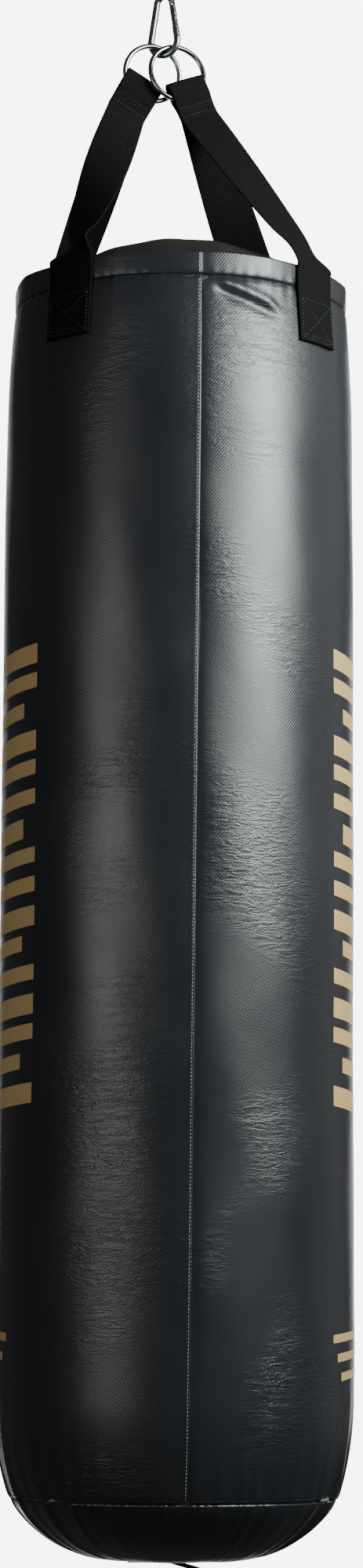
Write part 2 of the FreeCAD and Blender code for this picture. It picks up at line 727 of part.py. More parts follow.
# ---------------------------------------------------------------- bottom

DISH_ARC = arc_radius("seam_radius - dish_flat_radius", "dish_depth")
bottom = turned_body("bottom_cover", (
    ("0", "-wall_height - dish_depth"),
    ("dish_flat_radius", "-wall_height - dish_depth"),
    ("seam_radius", "-wall_height - layer_gap", "-" + DISH_ARC),
    ("seam_radius - skin_thickness", "-wall_height - layer_gap"),
    ("dish_flat_radius", "-wall_height - dish_depth + skin_thickness", "+" + DISH_ARC),
    ("0", "-wall_height - dish_depth + skin_thickness"),
))
on_bag_axis(bottom)

pad_top = "(-wall_height - 2 * layer_gap)"
pad_floor = "(-wall_height - dish_depth + skin_thickness + layer_gap)"
bottom_pad = turned_body("bottom_pad", (
    ("0", pad_floor),
    ("dish_flat_radius", pad_floor),
    ("seam_radius - skin_thickness - 3", pad_top, "-" + DISH_ARC),
    ("0", pad_top),
))
on_bag_axis(bottom_pad)


def make_bottom_loop():
    """A folded strip of webbing for a floor anchor, and the patch that it is sewn under."""
    base = doc.addObject("Part::Box", "bottom_loop_base")
    bind(base, "Length", "loop_length + 4")
    bind(base, "Width", "loop_width")
    bind(base, "Height", "loop_thickness")
    bind(base, "Placement.Base.x", "bag_offset - loop_length - 10")
    bind(base, "Placement.Base.y", "-loop_width / 2")
    bind(base, "Placement.Base.z", "-hem_drop - wall_height - dish_depth - layer_gap - loop_thickness")
    keep(base, "bottom_loop_base")
    half = "loop_thickness / 2"
    tip = "(loop_length - loop_thickness / 2)"
    slot = "loop_thickness / 7"
    outlines = (
        (
            ("0", "-" + half), (tip, "-" + half), ("loop_length", "0", "-" + half),
            (tip, half, "-" + half), ("0", half),
        ),
        (("4", "-" + slot), (tip, "-" + slot), (tip, slot), ("4", slot)),
    )
    loop = padded_body("bottom_loop", "XZ_Plane", outlines, "loop_width")
    bind(loop, "Placement.Base.x", "bag_offset - 4")
    bind(loop, "Placement.Base.z", "-hem_drop - wall_height - dish_depth - layer_gap - loop_thickness / 2")
    loop.Placement.Rotation = Rotation(Vector(0, 1, 0), size("loop_dip"))
    bind(loop, "Placement.Rotation.Angle", "loop_dip")


make_bottom_loop()

# ---------------------------------------------------------------- inside

sack = turned_body("inner_sack", (
    ("hem_radius - " + SACK_OUT, "-fill_drop"),
    ("wall_radius - " + SACK_OUT, "-shoulder_drop", "+" + SHOULDER_ARC),
    ("belly_radius - " + SACK_OUT, "-belly_drop"),
    ("seam_radius - " + SACK_OUT, "layer_gap - wall_height", "+" + TURN_IN_ARC),
    ("0", "layer_gap - wall_height"),
    ("0", "layer_gap + sack_thickness - wall_height"),
    ("seam_radius - " + SACK_IN, "layer_gap + sack_thickness - wall_height"),
    ("belly_radius - " + SACK_IN, "-belly_drop", "-" + TURN_IN_ARC),
    ("wall_radius - " + SACK_IN, "-shoulder_drop"),
    ("hem_radius - " + SACK_IN, "-fill_drop", "-" + SHOULDER_ARC),
))
on_bag_axis(sack)

core = turned_body("textile_fill_core", (
    ("0", "-fill_drop"),
    ("hem_radius - " + FILL_OUT, "-fill_drop"),
    ("wall_radius - " + FILL_OUT, "-shoulder_drop", "+" + SHOULDER_ARC),
    ("belly_radius - " + FILL_OUT, "-belly_drop"),
    ("seam_radius - " + FILL_OUT, "2 * layer_gap + sack_thickness - wall_height", "+" + TURN_IN_ARC),
    ("0", "2 * layer_gap + sack_thickness - wall_height"),
))
on_bag_axis(core)

SAND_BAGS = 3
nest = doc.addObject("Part::Cylinder", "sand_nest")
bind(nest, "Radius", "sand_radius + layer_gap")
bind(nest, "Height", "%d * (sand_height + layer_gap) + layer_gap" % SAND_BAGS)
bind(nest, "Placement.Base.x", "bag_offset + sand_offset")
bind(nest, "Placement.Base.z",
     "-hem_drop - sand_drop + layer_gap - %d * (sand_height + layer_gap) - layer_gap" % SAND_BAGS)
filling = doc.addObject("Part::Cut", "textile_filling")
filling.Base = core
filling.Tool = nest
parts.remove(core)
keep(filling, "textile_filling")
for i, label in enumerate(("upper_sand_bag", "middle_sand_bag", "lower_sand_bag"), start=1):
    blank = doc.addObject("Part::Cylinder", label + "_blank")
    bind(blank, "Radius", "sand_radius")
    bind(blank, "Height", "sand_height")
    bind(blank, "Placement.Base.x", "bag_offset + sand_offset")
    bind(blank, "Placement.Base.z", "-hem_drop - sand_drop - %d * (sand_height + layer_gap)" % i)
    rounded = doc.addObject("Part::Fillet", label)
    rounded.Base = blank
    rounded.Edges = [(1, size("sand_radius / 3"), size("sand_radius / 3")),
                     (3, size("sand_radius / 3"), size("sand_radius / 3"))]
    keep(rounded, label)

# ---------------------------------------------------------------- top cover and zip

DOME_EDGE_RADIUS = "(hem_radius - hem_thickness - layer_gap)"
DOME_RADIUS = arc_radius(DOME_EDGE_RADIUS, "dome_rise - dome_edge")
DOME_BASE = "-hem_drop + dome_rise - %s" % DOME_RADIUS


def dome_sphere(label, inset_text):
    """A ball inside the dome's outside, by an inset, about the dome's own centre."""
    ball = doc.addObject("Part::Sphere", label)
    ball.Placement.Rotation = Rotation(Vector(1, 0, 0), 90)  # keeps its seam out of the dome
    bind(ball, "Radius", "%s - (%s)" % (DOME_RADIUS, inset_text))
    bind(ball, "Placement.Base.x", "bag_offset")
    bind(ball, "Placement.Base.z", DOME_BASE)
    return ball


def dome_piece(label, outer_text, inner_text, half_length, near, far, low):
    """A piece of a dome shell, between two distances from the zip and above a bag height."""
    shell = doc.addObject("Part::Cut", label + "_shell")
    shell.Base = dome_sphere(label + "_outer", outer_text)
    shell.Tool = dome_sphere(label + "_inner", inner_text)
    block = doc.addObject("Part::Box", label + "_block")
    bind(block, "Length", "2 * %s" % half_length)
    bind(block, "Width", "(%s) - (%s)" % (far, near))
    bind(block, "Height", "dome_rise + 10")
    bind(block, "Placement.Base.x", "bag_offset - %s" % half_length)
    bind(block, "Placement.Base.y", near)
    bind(block, "Placement.Base.z", "-hem_drop + %s" % low)
    piece = doc.addObject("Part::Common", label)
    piece.Base = shell
    piece.Tool = block
    return piece


for label, near, far in (
    ("top_cover_front", "-hem_radius", "-zip_slot / 2"),
    ("top_cover_back", "zip_slot / 2", "hem_radius"),
):
    keep(dome_piece(label, "0", SKIN, "hem_radius", near, far, "dome_edge"), label)
TAPE_TOP = "skin_thickness + layer_gap"
TAPE_FLOOR = "skin_thickness + layer_gap + zip_tape_thickness"
TEETH_HALF = "(zip_slot / 2 - 0.7)"
for label, near, far in (
    ("zip_tape_front", "-%s - layer_gap - zip_tape_width" % TEETH_HALF, "-%s - layer_gap" % TEETH_HALF),
    ("zip_tape_back", "%s + layer_gap" % TEETH_HALF, "%s + layer_gap + zip_tape_width" % TEETH_HALF),
):
    keep(dome_piece(label, TAPE_TOP, TAPE_FLOOR, "zip_half_length", near, far, "dome_edge"), label)
rows = []
for label, near, far in (
    ("front_teeth", "-" + TEETH_HALF, "-layer_gap / 2"),
    ("back_teeth", "layer_gap / 2", TEETH_HALF),
):
    rows.append(dome_piece(label, "0.5", TAPE_FLOOR, "(zip_half_length - 6)", near, far, "dome_edge"))
teeth = doc.addObject("Part::Compound", "zip_teeth")
teeth.Links = rows
keep(teeth, "zip_teeth")

crown = doc.addObject("Part::Cylinder", "top_pad_blank")
bind(crown, "Radius", "hem_radius - %s" % FILL_OUT)
bind(crown, "Height", "fill_drop + dome_rise")
bind(crown, "Placement.Base.x", "bag_offset")
bind(crown, "Placement.Base.z", "-hem_drop - fill_drop + layer_gap")
top_pad = doc.addObject("Part::Common", "top_pad")
top_pad.Base = dome_sphere("top_pad_outer", TAPE_FLOOR + " + 4")
top_pad.Tool = crown
keep(top_pad, "top_pad")


def on_dome(along):
    """A frame on the dome's outside over the zip: +Z out of the dome, +X down the zip."""
    radius = size(DOME_RADIUS)
    angle = math.asin(along / radius)
    centre = Vector(size("bag_offset"), 0, size(DOME_BASE))
    out = Vector(math.sin(angle), 0, math.cos(angle))
    return Placement(centre + out * radius, Rotation(Vector(0, 1, 0), math.degrees(angle)))


def make_end_stops():
    stop = Part.makeBox(4.0, 2 * size(TEETH_HALF), 2.4, Vector(-2.0, -size(TEETH_HALF), -1.8))
    stops = []
    for way in (-1, 1):
        piece = stop.copy()
        piece.Placement = on_dome(way * size("zip_half_length - 3"))
        stops.append(piece)
    shape_node("zip_end_stops", Part.makeCompound(stops))


BAR_RADIUS = 0.8
PLATE_LOW = 0.3
PLATE_HIGH = 1.9
BAR_HEIGHT = PLATE_HIGH + BAR_RADIUS + 0.35


def make_slider():
    """The slider's plate and the arch over its pull's bar."""
    length = size("slider_length")
    width = size("slider_width")
    plate = Part.makeBox(length, width, PLATE_HIGH - PLATE_LOW, Vector(-length / 2, -width / 2, PLATE_LOW))
    plate = plate.makeFillet(2.5, [e for e in plate.Edges if abs(e.tangentAt(0).z) > 0.9])
    inner = 2.2
    post = 1.2
    top = BAR_HEIGHT + BAR_RADIUS + 0.35
    arch = Part.makeBox(2 * (inner + post), 1.8, top + post - PLATE_LOW - 0.5,
                        Vector(-inner - post, -0.9, PLATE_LOW + 0.5))
    arch = arch.cut(Part.makeBox(2 * inner, 3.0, top - PLATE_HIGH, Vector(-inner, -1.5, PLATE_HIGH)))
    node = shape_node("zip_slider", plate.fuse(arch).removeSplitter())
    node.Placement = on_dome(size("slider_position"))


def make_pull():
    """The pull: a bar under the slider's arch, two arms past it and a flat tab."""
    half = BAR_RADIUS * 0.85
    length = size("pull_length")
    bar = Part.makeCylinder(BAR_RADIUS, 6.4, Vector(0, -3.2, 0), Vector(0, 1, 0))
    pull = bar
    for side in (-1, 1):
        pull = pull.fuse(Part.makeBox(7.0, 1.6, 2 * half, Vector(0, side * 2.4 - 0.8, -half)))
    tab = Part.makeBox(length - 6.0, 8.0, 2 * half, Vector(6.0, -4.0, -half))
    tab = tab.makeFillet(2.0, [e for e in tab.Edges if abs(e.tangentAt(0).z) > 0.9])
    node = shape_node("zip_pull", pull.fuse(tab).removeSplitter())
    lift = Placement(Vector(0, 0, BAR_HEIGHT), Rotation())
    node.Placement = on_dome(size("slider_position")).multiply(lift)


make_end_stops()
make_slider()
make_pull()

# ---------------------------------------------------------------- checks and files

doc.recompute()
faults = []
for thing in doc.Objects:
    if "Invalid" in thing.State or "Error" in thing.State:
        faults.append("%s: %s" % (thing.Label, thing.State))
for thing in parts:
    if thing.Shape.isNull() or not thing.Shape.isValid() or thing.Shape.Volume <= 0:
        faults.append("%s: no valid solid" % thing.Label)
if faults:
    raise RuntimeError("; ".join(faults))

os.makedirs("parts", exist_ok=True)
for thing in parts:
    thing.Shape.exportStep("parts/%s.step" % thing.Label)
print("wrote %d parts" % len(parts))
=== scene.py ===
import math

import bmesh
import bpy
import numpy as np
from mathutils import Matrix, Vector


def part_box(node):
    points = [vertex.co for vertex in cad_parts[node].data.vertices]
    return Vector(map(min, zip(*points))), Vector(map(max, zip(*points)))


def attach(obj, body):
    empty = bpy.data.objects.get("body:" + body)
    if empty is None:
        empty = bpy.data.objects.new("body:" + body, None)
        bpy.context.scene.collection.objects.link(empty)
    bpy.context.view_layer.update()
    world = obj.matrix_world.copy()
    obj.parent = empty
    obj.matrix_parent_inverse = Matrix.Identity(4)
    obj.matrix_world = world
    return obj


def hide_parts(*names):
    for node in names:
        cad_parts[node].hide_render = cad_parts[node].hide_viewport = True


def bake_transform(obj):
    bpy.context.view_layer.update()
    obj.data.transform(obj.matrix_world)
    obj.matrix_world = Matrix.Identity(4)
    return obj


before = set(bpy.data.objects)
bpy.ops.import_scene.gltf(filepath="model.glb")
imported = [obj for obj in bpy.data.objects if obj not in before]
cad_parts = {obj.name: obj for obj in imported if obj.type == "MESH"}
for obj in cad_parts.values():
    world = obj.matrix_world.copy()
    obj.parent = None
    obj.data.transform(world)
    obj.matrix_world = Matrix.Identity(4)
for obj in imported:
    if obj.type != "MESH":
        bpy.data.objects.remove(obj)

bl_info = {
    "name": "Hanging punching bag",
    "version": (1, 0, 0),
    "blender": (4, 5, 0),
    "location": "View3D > Sidebar > Punching bag",
    "description": "Builds the skin, webbing, zip, stitching and stage of a hanging punching bag",
    "category": "Mesh",
}

# Every position is in metres in the frame's own axes: +Z up, the front seam towards -Y.
# "Drop" is measured down from the hem's stitch line, and "azimuth" from the front towards +X.


class BagSizes(bpy.types.PropertyGroup):
    axis_x: bpy.props.FloatProperty(
        name="Axis X", description="X of the bag's axis", default=0.0185, unit="LENGTH")
    hem_z: bpy.props.FloatProperty(
        name="Hem height", description="Z of the hem's stitch line", default=-0.3365, unit="LENGTH")
    hem_radius: bpy.props.FloatProperty(
        name="Hem radius", description="Outside radius at the hem", default=0.1683, unit="LENGTH")
    wall_radius: bpy.props.FloatProperty(
        name="Wall radius", description="Outside radius below the shoulder", default=0.175,
        unit="LENGTH")
    belly_radius: bpy.props.FloatProperty(
        name="Belly radius", description="Outside radius just above the bottom", default=0.1767,
        unit="LENGTH")
    seam_radius: bpy.props.FloatProperty(
        name="Seam radius", description="Outside radius at the bottom seam", default=0.161,
        unit="LENGTH")
    shoulder_drop: bpy.props.FloatProperty(
        name="Shoulder drop", description="Drop of the full radius", default=0.160, unit="LENGTH")
    belly_drop: bpy.props.FloatProperty(
        name="Belly drop", description="Drop at which the wall turns in", default=1.090,
        unit="LENGTH")
    wall_height: bpy.props.FloatProperty(
        name="Wall height", description="Drop of the bottom seam", default=1.182, unit="LENGTH")
    dish_depth: bpy.props.FloatProperty(
        name="Dish depth", description="Depth of the bottom below its seam", default=0.059,
        unit="LENGTH")
    flat_radius: bpy.props.FloatProperty(
        name="Flat radius", description="Radius of the flat of the bottom", default=0.060,
        unit="LENGTH")
    hem_height: bpy.props.FloatProperty(
        name="Hem band", description="Height of the folded hem band", default=0.025, unit="LENGTH")
    hem_thickness: bpy.props.FloatProperty(
        name="Hem thickness", description="Thickness of the folded hem band", default=0.004,
        unit="LENGTH")
    dome_rise: bpy.props.FloatProperty(
        name="Dome rise", description="Crown of the top cover above the hem", default=0.073,
        unit="LENGTH")
    webbing_width: bpy.props.FloatProperty(
        name="Webbing width", description="Width of the webbing", default=0.055, unit="LENGTH")
    webbing_thickness: bpy.props.FloatProperty(
        name="Webbing thickness", description="Thickness of one ply", default=0.0024,
        unit="LENGTH")
    webbing_chord: bpy.props.FloatProperty(
        name="Cupped width", description="Width of the webbing round a ring", default=0.042,
        unit="LENGTH")
    leg_end_drop: bpy.props.FloatProperty(
        name="Leg end drop", description="Drop of the legs' sewn ends", default=0.055,
        unit="LENGTH")
    seam_top_angle: bpy.props.FloatProperty(
        name="Seam angle, top", description="Azimuth of the front seam at the hem",
        default=math.radians(7.2), subtype="ANGLE")
    seam_foot_angle: bpy.props.FloatProperty(
        name="Seam angle, foot", description="Azimuth of the front seam at the bottom",
        default=math.radians(5.1), subtype="ANGLE")
    stitch_pitch: bpy.props.FloatProperty(
        name="Stitch pitch", description="Distance between stitches", default=0.0034,
        unit="LENGTH")


class BagLooks(bpy.types.PropertyGroup):
    gather_depth: bpy.props.FloatProperty(
        name="Gather depth", description="Depth of the folds at the bottom seam", default=0.0042,
        unit="LENGTH")
    pucker_depth: bpy.props.FloatProperty(
        name="Pucker depth", description="Depth of the ripples under the hem's stitches",
        default=0.0007, unit="LENGTH")
    crease_depth: bpy.props.FloatProperty(
        name="Crease depth", description="Depth of the crease under the hem", default=0.0022,
        unit="LENGTH")
    skin_colour: bpy.props.FloatVectorProperty(
        name="Skin colour", description="Synthetic leather of the wall and bottom",
        default=(0.0105, 0.0115, 0.0135), size=3, subtype="COLOR", min=0, max=1)
    cover_colour: bpy.props.FloatVectorProperty(
        name="Cover colour", description="Synthetic leather of the top cover",
        default=(0.016, 0.016, 0.012), size=3, subtype="COLOR", min=0, max=1)
    webbing_colour: bpy.props.FloatVectorProperty(
        name="Webbing colour", description="Webbing of the slings and the bottom loop",
        default=(0.0030, 0.0028, 0.0027), size=3, subtype="COLOR", min=0, max=1)
    print_colour: bpy.props.FloatVectorProperty(
        name="Print colour", description="Printed bars on the wall",
        default=(0.47, 0.32, 0.13), size=3, subtype="COLOR", min=0, max=1)
    steel_colour: bpy.props.FloatVectorProperty(
        name="Steel colour", description="Plated hook and rings",
        default=(0.30, 0.325, 0.33), size=3, subtype="COLOR", min=0, max=1)
    backdrop_colour: bpy.props.FloatVectorProperty(
        name="Backdrop colour", description="Colour of the backdrop",
        default=(0.905, 0.905, 0.905), size=3, subtype="COLOR", min=0, max=1)


def bag_sizes():
    return bpy.context.scene.bag_sizes


def bag_looks():
    return bpy.context.scene.bag_looks


# ---------------------------------------------------------------- materials

WAVES_AT_SCALE_ONE = 3.1831  # bands in one unit of a wave texture
TWILL_PITCH = 0.0024
RIB_PITCH = 0.0021
THREAD_PITCH = 0.0011
GRAIN_SCALE = 620


def new_material(name, colour, roughness, metallic=0.0, specular=0.5):
    material = bpy.data.materials.new(name)
    material.use_nodes = True
    shader = material.node_tree.nodes["Principled BSDF"]
    shader.inputs["Base Color"].default_value = (*colour, 1)
    shader.inputs["Roughness"].default_value = roughness
    shader.inputs["Metallic"].default_value = metallic
    shader.inputs["Specular IOR Level"].default_value = specular
    return material, material.node_tree, shader


def uv_mapping(tree, scale, turn=0.0, name="skin"):
    """The named UV map, in metres, scaled and turned."""
    uv = tree.nodes.new("ShaderNodeUVMap")
    uv.uv_map = name
    mapping = tree.nodes.new("ShaderNodeMapping")
    mapping.inputs["Scale"].default_value = scale
    mapping.inputs["Rotation"].default_value = (0, 0, turn)
    tree.links.new(uv.outputs[0], mapping.inputs[0])
    return mapping.outputs[0]


def chain_bumps(tree, shader, layers):
    """Stacks bump layers of (height output, strength, distance) on the shader's normal."""
    last = None
    for height, strength, distance in layers:
        bump = tree.nodes.new("ShaderNodeBump")
        bump.inputs["Strength"].default_value = strength
        bump.inputs["Distance"].default_value = distance
        tree.links.new(height, bump.inputs["Height"])
        if last is not None:
            tree.links.new(last, bump.inputs["Normal"])
        last = bump.outputs[0]
    tree.links.new(last, shader.inputs["Normal"])


def maths(tree, operation, a, b=None, clamp=False):
    node = tree.nodes.new("ShaderNodeMath")
    node.operation = operation
    node.use_clamp = clamp
    for i, value in enumerate((a, b)):
        if value is None:
            continue
        if isinstance(value, (int, float)):
            node.inputs[i].default_value = value
        else:
            tree.links.new(value, node.inputs[i])
    return node.outputs[0]


def noise_height(tree, vector, scale, detail=3.0, roughness=0.5, distortion=0.0):
    node = tree.nodes.new("ShaderNodeTexNoise")
    node.inputs["Scale"].default_value = scale
    node.inputs["Detail"].default_value = detail
    node.inputs["Roughness"].default_value = roughness
    node.inputs["Distortion"].default_value = distortion
    tree.links.new(vector, node.inputs["Vector"])
    return node.outputs[0]


def wave_height(tree, vector, direction, pitch, distortion, detail_scale=1.0):
    """Ribs of a pitch in metres, one after another along the direction."""
    node = tree.nodes.new("ShaderNodeTexWave")
    node.wave_type = "BANDS"
    node.bands_direction = direction
    node.inputs["Scale"].default_value = 1 / pitch / WAVES_AT_SCALE_ONE
    node.inputs["Distortion"].default_value = distortion
    node.inputs["Detail"].default_value = 1.0
    node.inputs["Detail Scale"].default_value = detail_scale
    tree.links.new(vector, node.inputs["Vector"])
    return node.outputs["Fac"]


def ramp(tree, value, stops):
    """A colour ramp through (position, grey) stops."""
    node = tree.nodes.new("ShaderNodeValToRGB")
    elements = node.color_ramp.elements
    while len(elements) < len(stops):
        elements.new(0.5)
    for element, (position, grey) in zip(elements, stops):
        element.position = position
        element.color = (grey, grey, grey, 1)
    tree.links.new(value, node.inputs[0])
    return node.outputs[0]


def skin_material(name, colour, roughness=0.30, specular=0.55):
    """Grained synthetic leather whose backing's twill shows through, with fine wrinkles."""
    material, tree, shader = new_material(name, colour, roughness, specular=specular)
    plain = uv_mapping(tree, (1, 1, 1))
    twill_uv = uv_mapping(tree, (1, 1, 1), math.radians(40))
    twill = wave_height(tree, twill_uv, "X", TWILL_PITCH, 0.6, 0.6)
    grain = tree.nodes.new("ShaderNodeTexVoronoi")
    grain.feature = "SMOOTH_F1"
    grain.inputs["Scale"].default_value = GRAIN_SCALE
    grain.inputs["Smoothness"].default_value = 0.6
    tree.links.new(plain, grain.inputs["Vector"])
    wide = uv_mapping(tree, (0.22, 1.0, 1.0))
    wrinkle = noise_height(tree, wide, 150, 3.0, 0.5, 1.6)
    folds = ramp(tree, wrinkle, ((0.36, 1.0), (0.50, 0.0), (0.64, 1.0)))
    where = ramp(tree, noise_height(tree, plain, 7.0, 1.0), ((0.44, 0.0), (0.60, 1.0)))
    patches = maths(tree, "MULTIPLY", folds, where)
    unevenness = noise_height(tree, plain, 14, 2.0)
    chain_bumps(tree, shader, (
        (unevenness, 0.12, 0.004),
        (patches, 0.32, 0.0006),
        (grain.outputs["Distance"], 0.18, 0.0003),
        (twill, 0.22, 0.0003),
    ))
    patchy = noise_height(tree, plain, 9, 3.0)
    rough = ramp(tree, patchy, ((0.3, roughness - 0.04), (0.7, roughness + 0.06)))
    tree.links.new(rough, shader.inputs["Roughness"])
    return material


def webbing_material(name, colour):
    """Ribbed webbing: ribs across its width and a fine weave along them."""
    material, tree, shader = new_material(name, colour, 0.72, specular=0.10)
    along = uv_mapping(tree, (1, 1, 1), name="webbing")
    chain_bumps(tree, shader, (
        (wave_height(tree, along, "Y", RIB_PITCH, 0.5), 0.9, 0.0006),
        (wave_height(tree, along, "X", THREAD_PITCH, 0.8), 0.5, 0.0003),
    ))
    return material


def steel_material(name, colour, roughness):
    """Plated steel with faint spots in its polish."""
    material, tree, shader = new_material(name, colour, roughness, metallic=1.0)
    place = tree.nodes.new("ShaderNodeTexCoord")
    spots = noise_height(tree, place.outputs["Object"], 240.0, 3.0, 0.5)
    rough = ramp(tree, spots, ((0.35, roughness * 0.8), (0.7, roughness * 1.3)))
    tree.links.new(rough, shader.inputs["Roughness"])
    chain_bumps(tree, shader, ((spots, 0.05, 0.0001),))
    return material


def plain_material(name, colour, roughness, grain=900.0, strength=0.25, metallic=0.0):
    material, tree, shader = new_material(name, colour, roughness, metallic)
    place = tree.nodes.new("ShaderNodeTexCoord")
    height = noise_height(tree, place.outputs["Object"], grain, 2.0)
    chain_bumps(tree, shader, ((height, strength, 0.0003),))
    return material


def paint(thing, material):
    thing.data.materials.clear()
    thing.data.materials.append(material)
    return thing


# ---------------------------------------------------------------- meshes

TURN_IN = 0.0016  # how far the panels' edges turn in behind the surface
PRINT_LIFT = 0.00016
STITCH_LIFT = 0.0001
TOPSTITCH_OFFSET = 0.0028  # from the lap seam's edge to its row of stitches
SEAM_THREAD = 0.00030  # radii of the stitches
LINE_THREAD = 0.00036
BOX_THREAD = 0.00032
SLING_STEP = 0.0025
# Degrees round the bag, from the front towards +X.
HEM_CORNERS = (-150, -100, -66, -22, 31, 78, 122, 180)
HEM_CORNER_REACH = 24
# Centre and width in degrees, then strength, of each gathered stretch of the bottom seam.
GATHERS = ((-52, 17, 0.75), (5, 3, 0.20), (27, 6, 0.30), (68, 15, 1.0), (-85, 12, 0.5), (112, 22, 0.7),
           (165, 24, 0.6), (-130, 24, 0.7))


def mesh_object(name, points, faces, uvs=None, uv_name="skin"):
    """A smooth shaded mesh object from arrays, with one UV corner value for each point."""
    mesh = bpy.data.meshes.new(name)
    mesh.from_pydata([tuple(p) for p in points], [], [tuple(f) for f in faces])
    if uvs is not None:
        layer = mesh.uv_layers.new(name=uv_name)
        index = np.empty(len(mesh.loops), int)
        mesh.loops.foreach_get("vertex_index", index)
        layer.data.foreach_set("uv", np.asarray(uvs, np.float32)[index].ravel())
    mesh.polygons.foreach_set("use_smooth", [True] * len(mesh.polygons))
    mesh.update()
    thing = bpy.data.objects.new(name, mesh)
    bpy.context.scene.collection.objects.link(thing)
    return thing


def grid_faces(rows, columns, closed=False):
    """Quads of a grid of points stored row by row, closed round each row if asked."""
    faces = []
    last = columns if closed else columns - 1
    for r in range(rows - 1):
        for c in range(last):
            d = (c + 1) % columns
            faces.append((r * columns + c, r * columns + d, (r + 1) * columns + d, (r + 1) * columns + c))
    return faces


def ease(value):
    value = np.clip(value, 0.0, 1.0)
    return value * value * (3 - 2 * value)


def bell(value, width):
    return np.exp(-(value / width) ** 2)


def signed_turn(angle):
    """The same angle between minus half a turn and half a turn."""
    return (angle + math.pi) % (2 * math.pi) - math.pi


def round_axis(azimuth, radius, height):
    """Points round the bag's axis at an absolute height."""
    return np.stack((bag_sizes().axis_x + radius * np.sin(azimuth), -radius * np.cos(azimuth), height), -1)


def ripples(angle, seed, low, high, count):
    """A repeatable sum of waves round the bag, with whole numbers of waves from low to high."""
    random = np.random.default_rng(seed)
    total = np.zeros_like(angle)
    for _ in range(count):
        waves = random.integers(low, high + 1)
        total += np.sin(waves * angle + random.uniform(0, 2 * math.pi)) * random.uniform(0.5, 1.0)
    return total / math.sqrt(count)


def base_radius(drop):
    """The wall's outside radius at a drop: a round shoulder, a slow taper and a turned-in foot."""
    s = bag_sizes()
    drop = np.asarray(drop, float)
    rise = s.wall_radius - s.hem_radius
    big = (s.shoulder_drop ** 2 + rise ** 2) / (2 * rise)
    reach = np.clip(s.shoulder_drop - drop, 0, s.shoulder_drop)
    shoulder = s.wall_radius - big + np.sqrt(big ** 2 - reach ** 2)
    share = np.clip((drop - s.shoulder_drop) / (s.belly_drop - s.shoulder_drop), 0, 1)
    taper = s.wall_radius + share * (s.belly_radius - s.wall_radius)
    run = s.wall_height - s.belly_drop
    fall = s.belly_radius - s.seam_radius
    foot = (run ** 2 + fall ** 2) / (2 * fall)
    down = np.clip(drop - s.belly_drop, 0, run)
    turned = s.belly_radius - foot + np.sqrt(foot ** 2 - down ** 2)
    radius = np.where(drop < s.shoulder_drop, shoulder, taper)
    return np.where(drop > s.belly_drop, turned, radius)


def seam_azimuth(drop):
    s = bag_sizes()
    share = np.asarray(drop, float) / s.wall_height
    return s.seam_top_angle + share * (s.seam_foot_angle - s.seam_top_angle)


def gathered_folds(azimuth):
    """The folds of the bottom seam, whose hollows are shallower than their crests."""
    fold = ripples(azimuth, 23, 22, 60, 9)
    return np.where(fold > 0, fold, 0.45 * fold)


def gather_strength(azimuth):
    """How strongly the bottom seam is gathered round the bag, from 0 to 1."""
    total = 0.07 + 0 * azimuth
    for centre, width, height in GATHERS:
        away = signed_turn(azimuth - math.radians(centre))
        total = total + height * bell(away, math.radians(width))
    return np.clip(total, 0, 1)


def hem_facets(azimuth):
    """How far the hem stands out at its corners and is drawn in between them, in metres."""
    nearest = np.full_like(azimuth, 9.0)
    for corner in np.radians(HEM_CORNERS):
        away = np.abs(signed_turn(azimuth - corner))
        nearest = np.minimum(nearest, away)
    share = np.clip(1 - nearest / math.radians(HEM_CORNER_REACH), 0, 1)
    return 0.0024 * share ** 2 - 0.0009


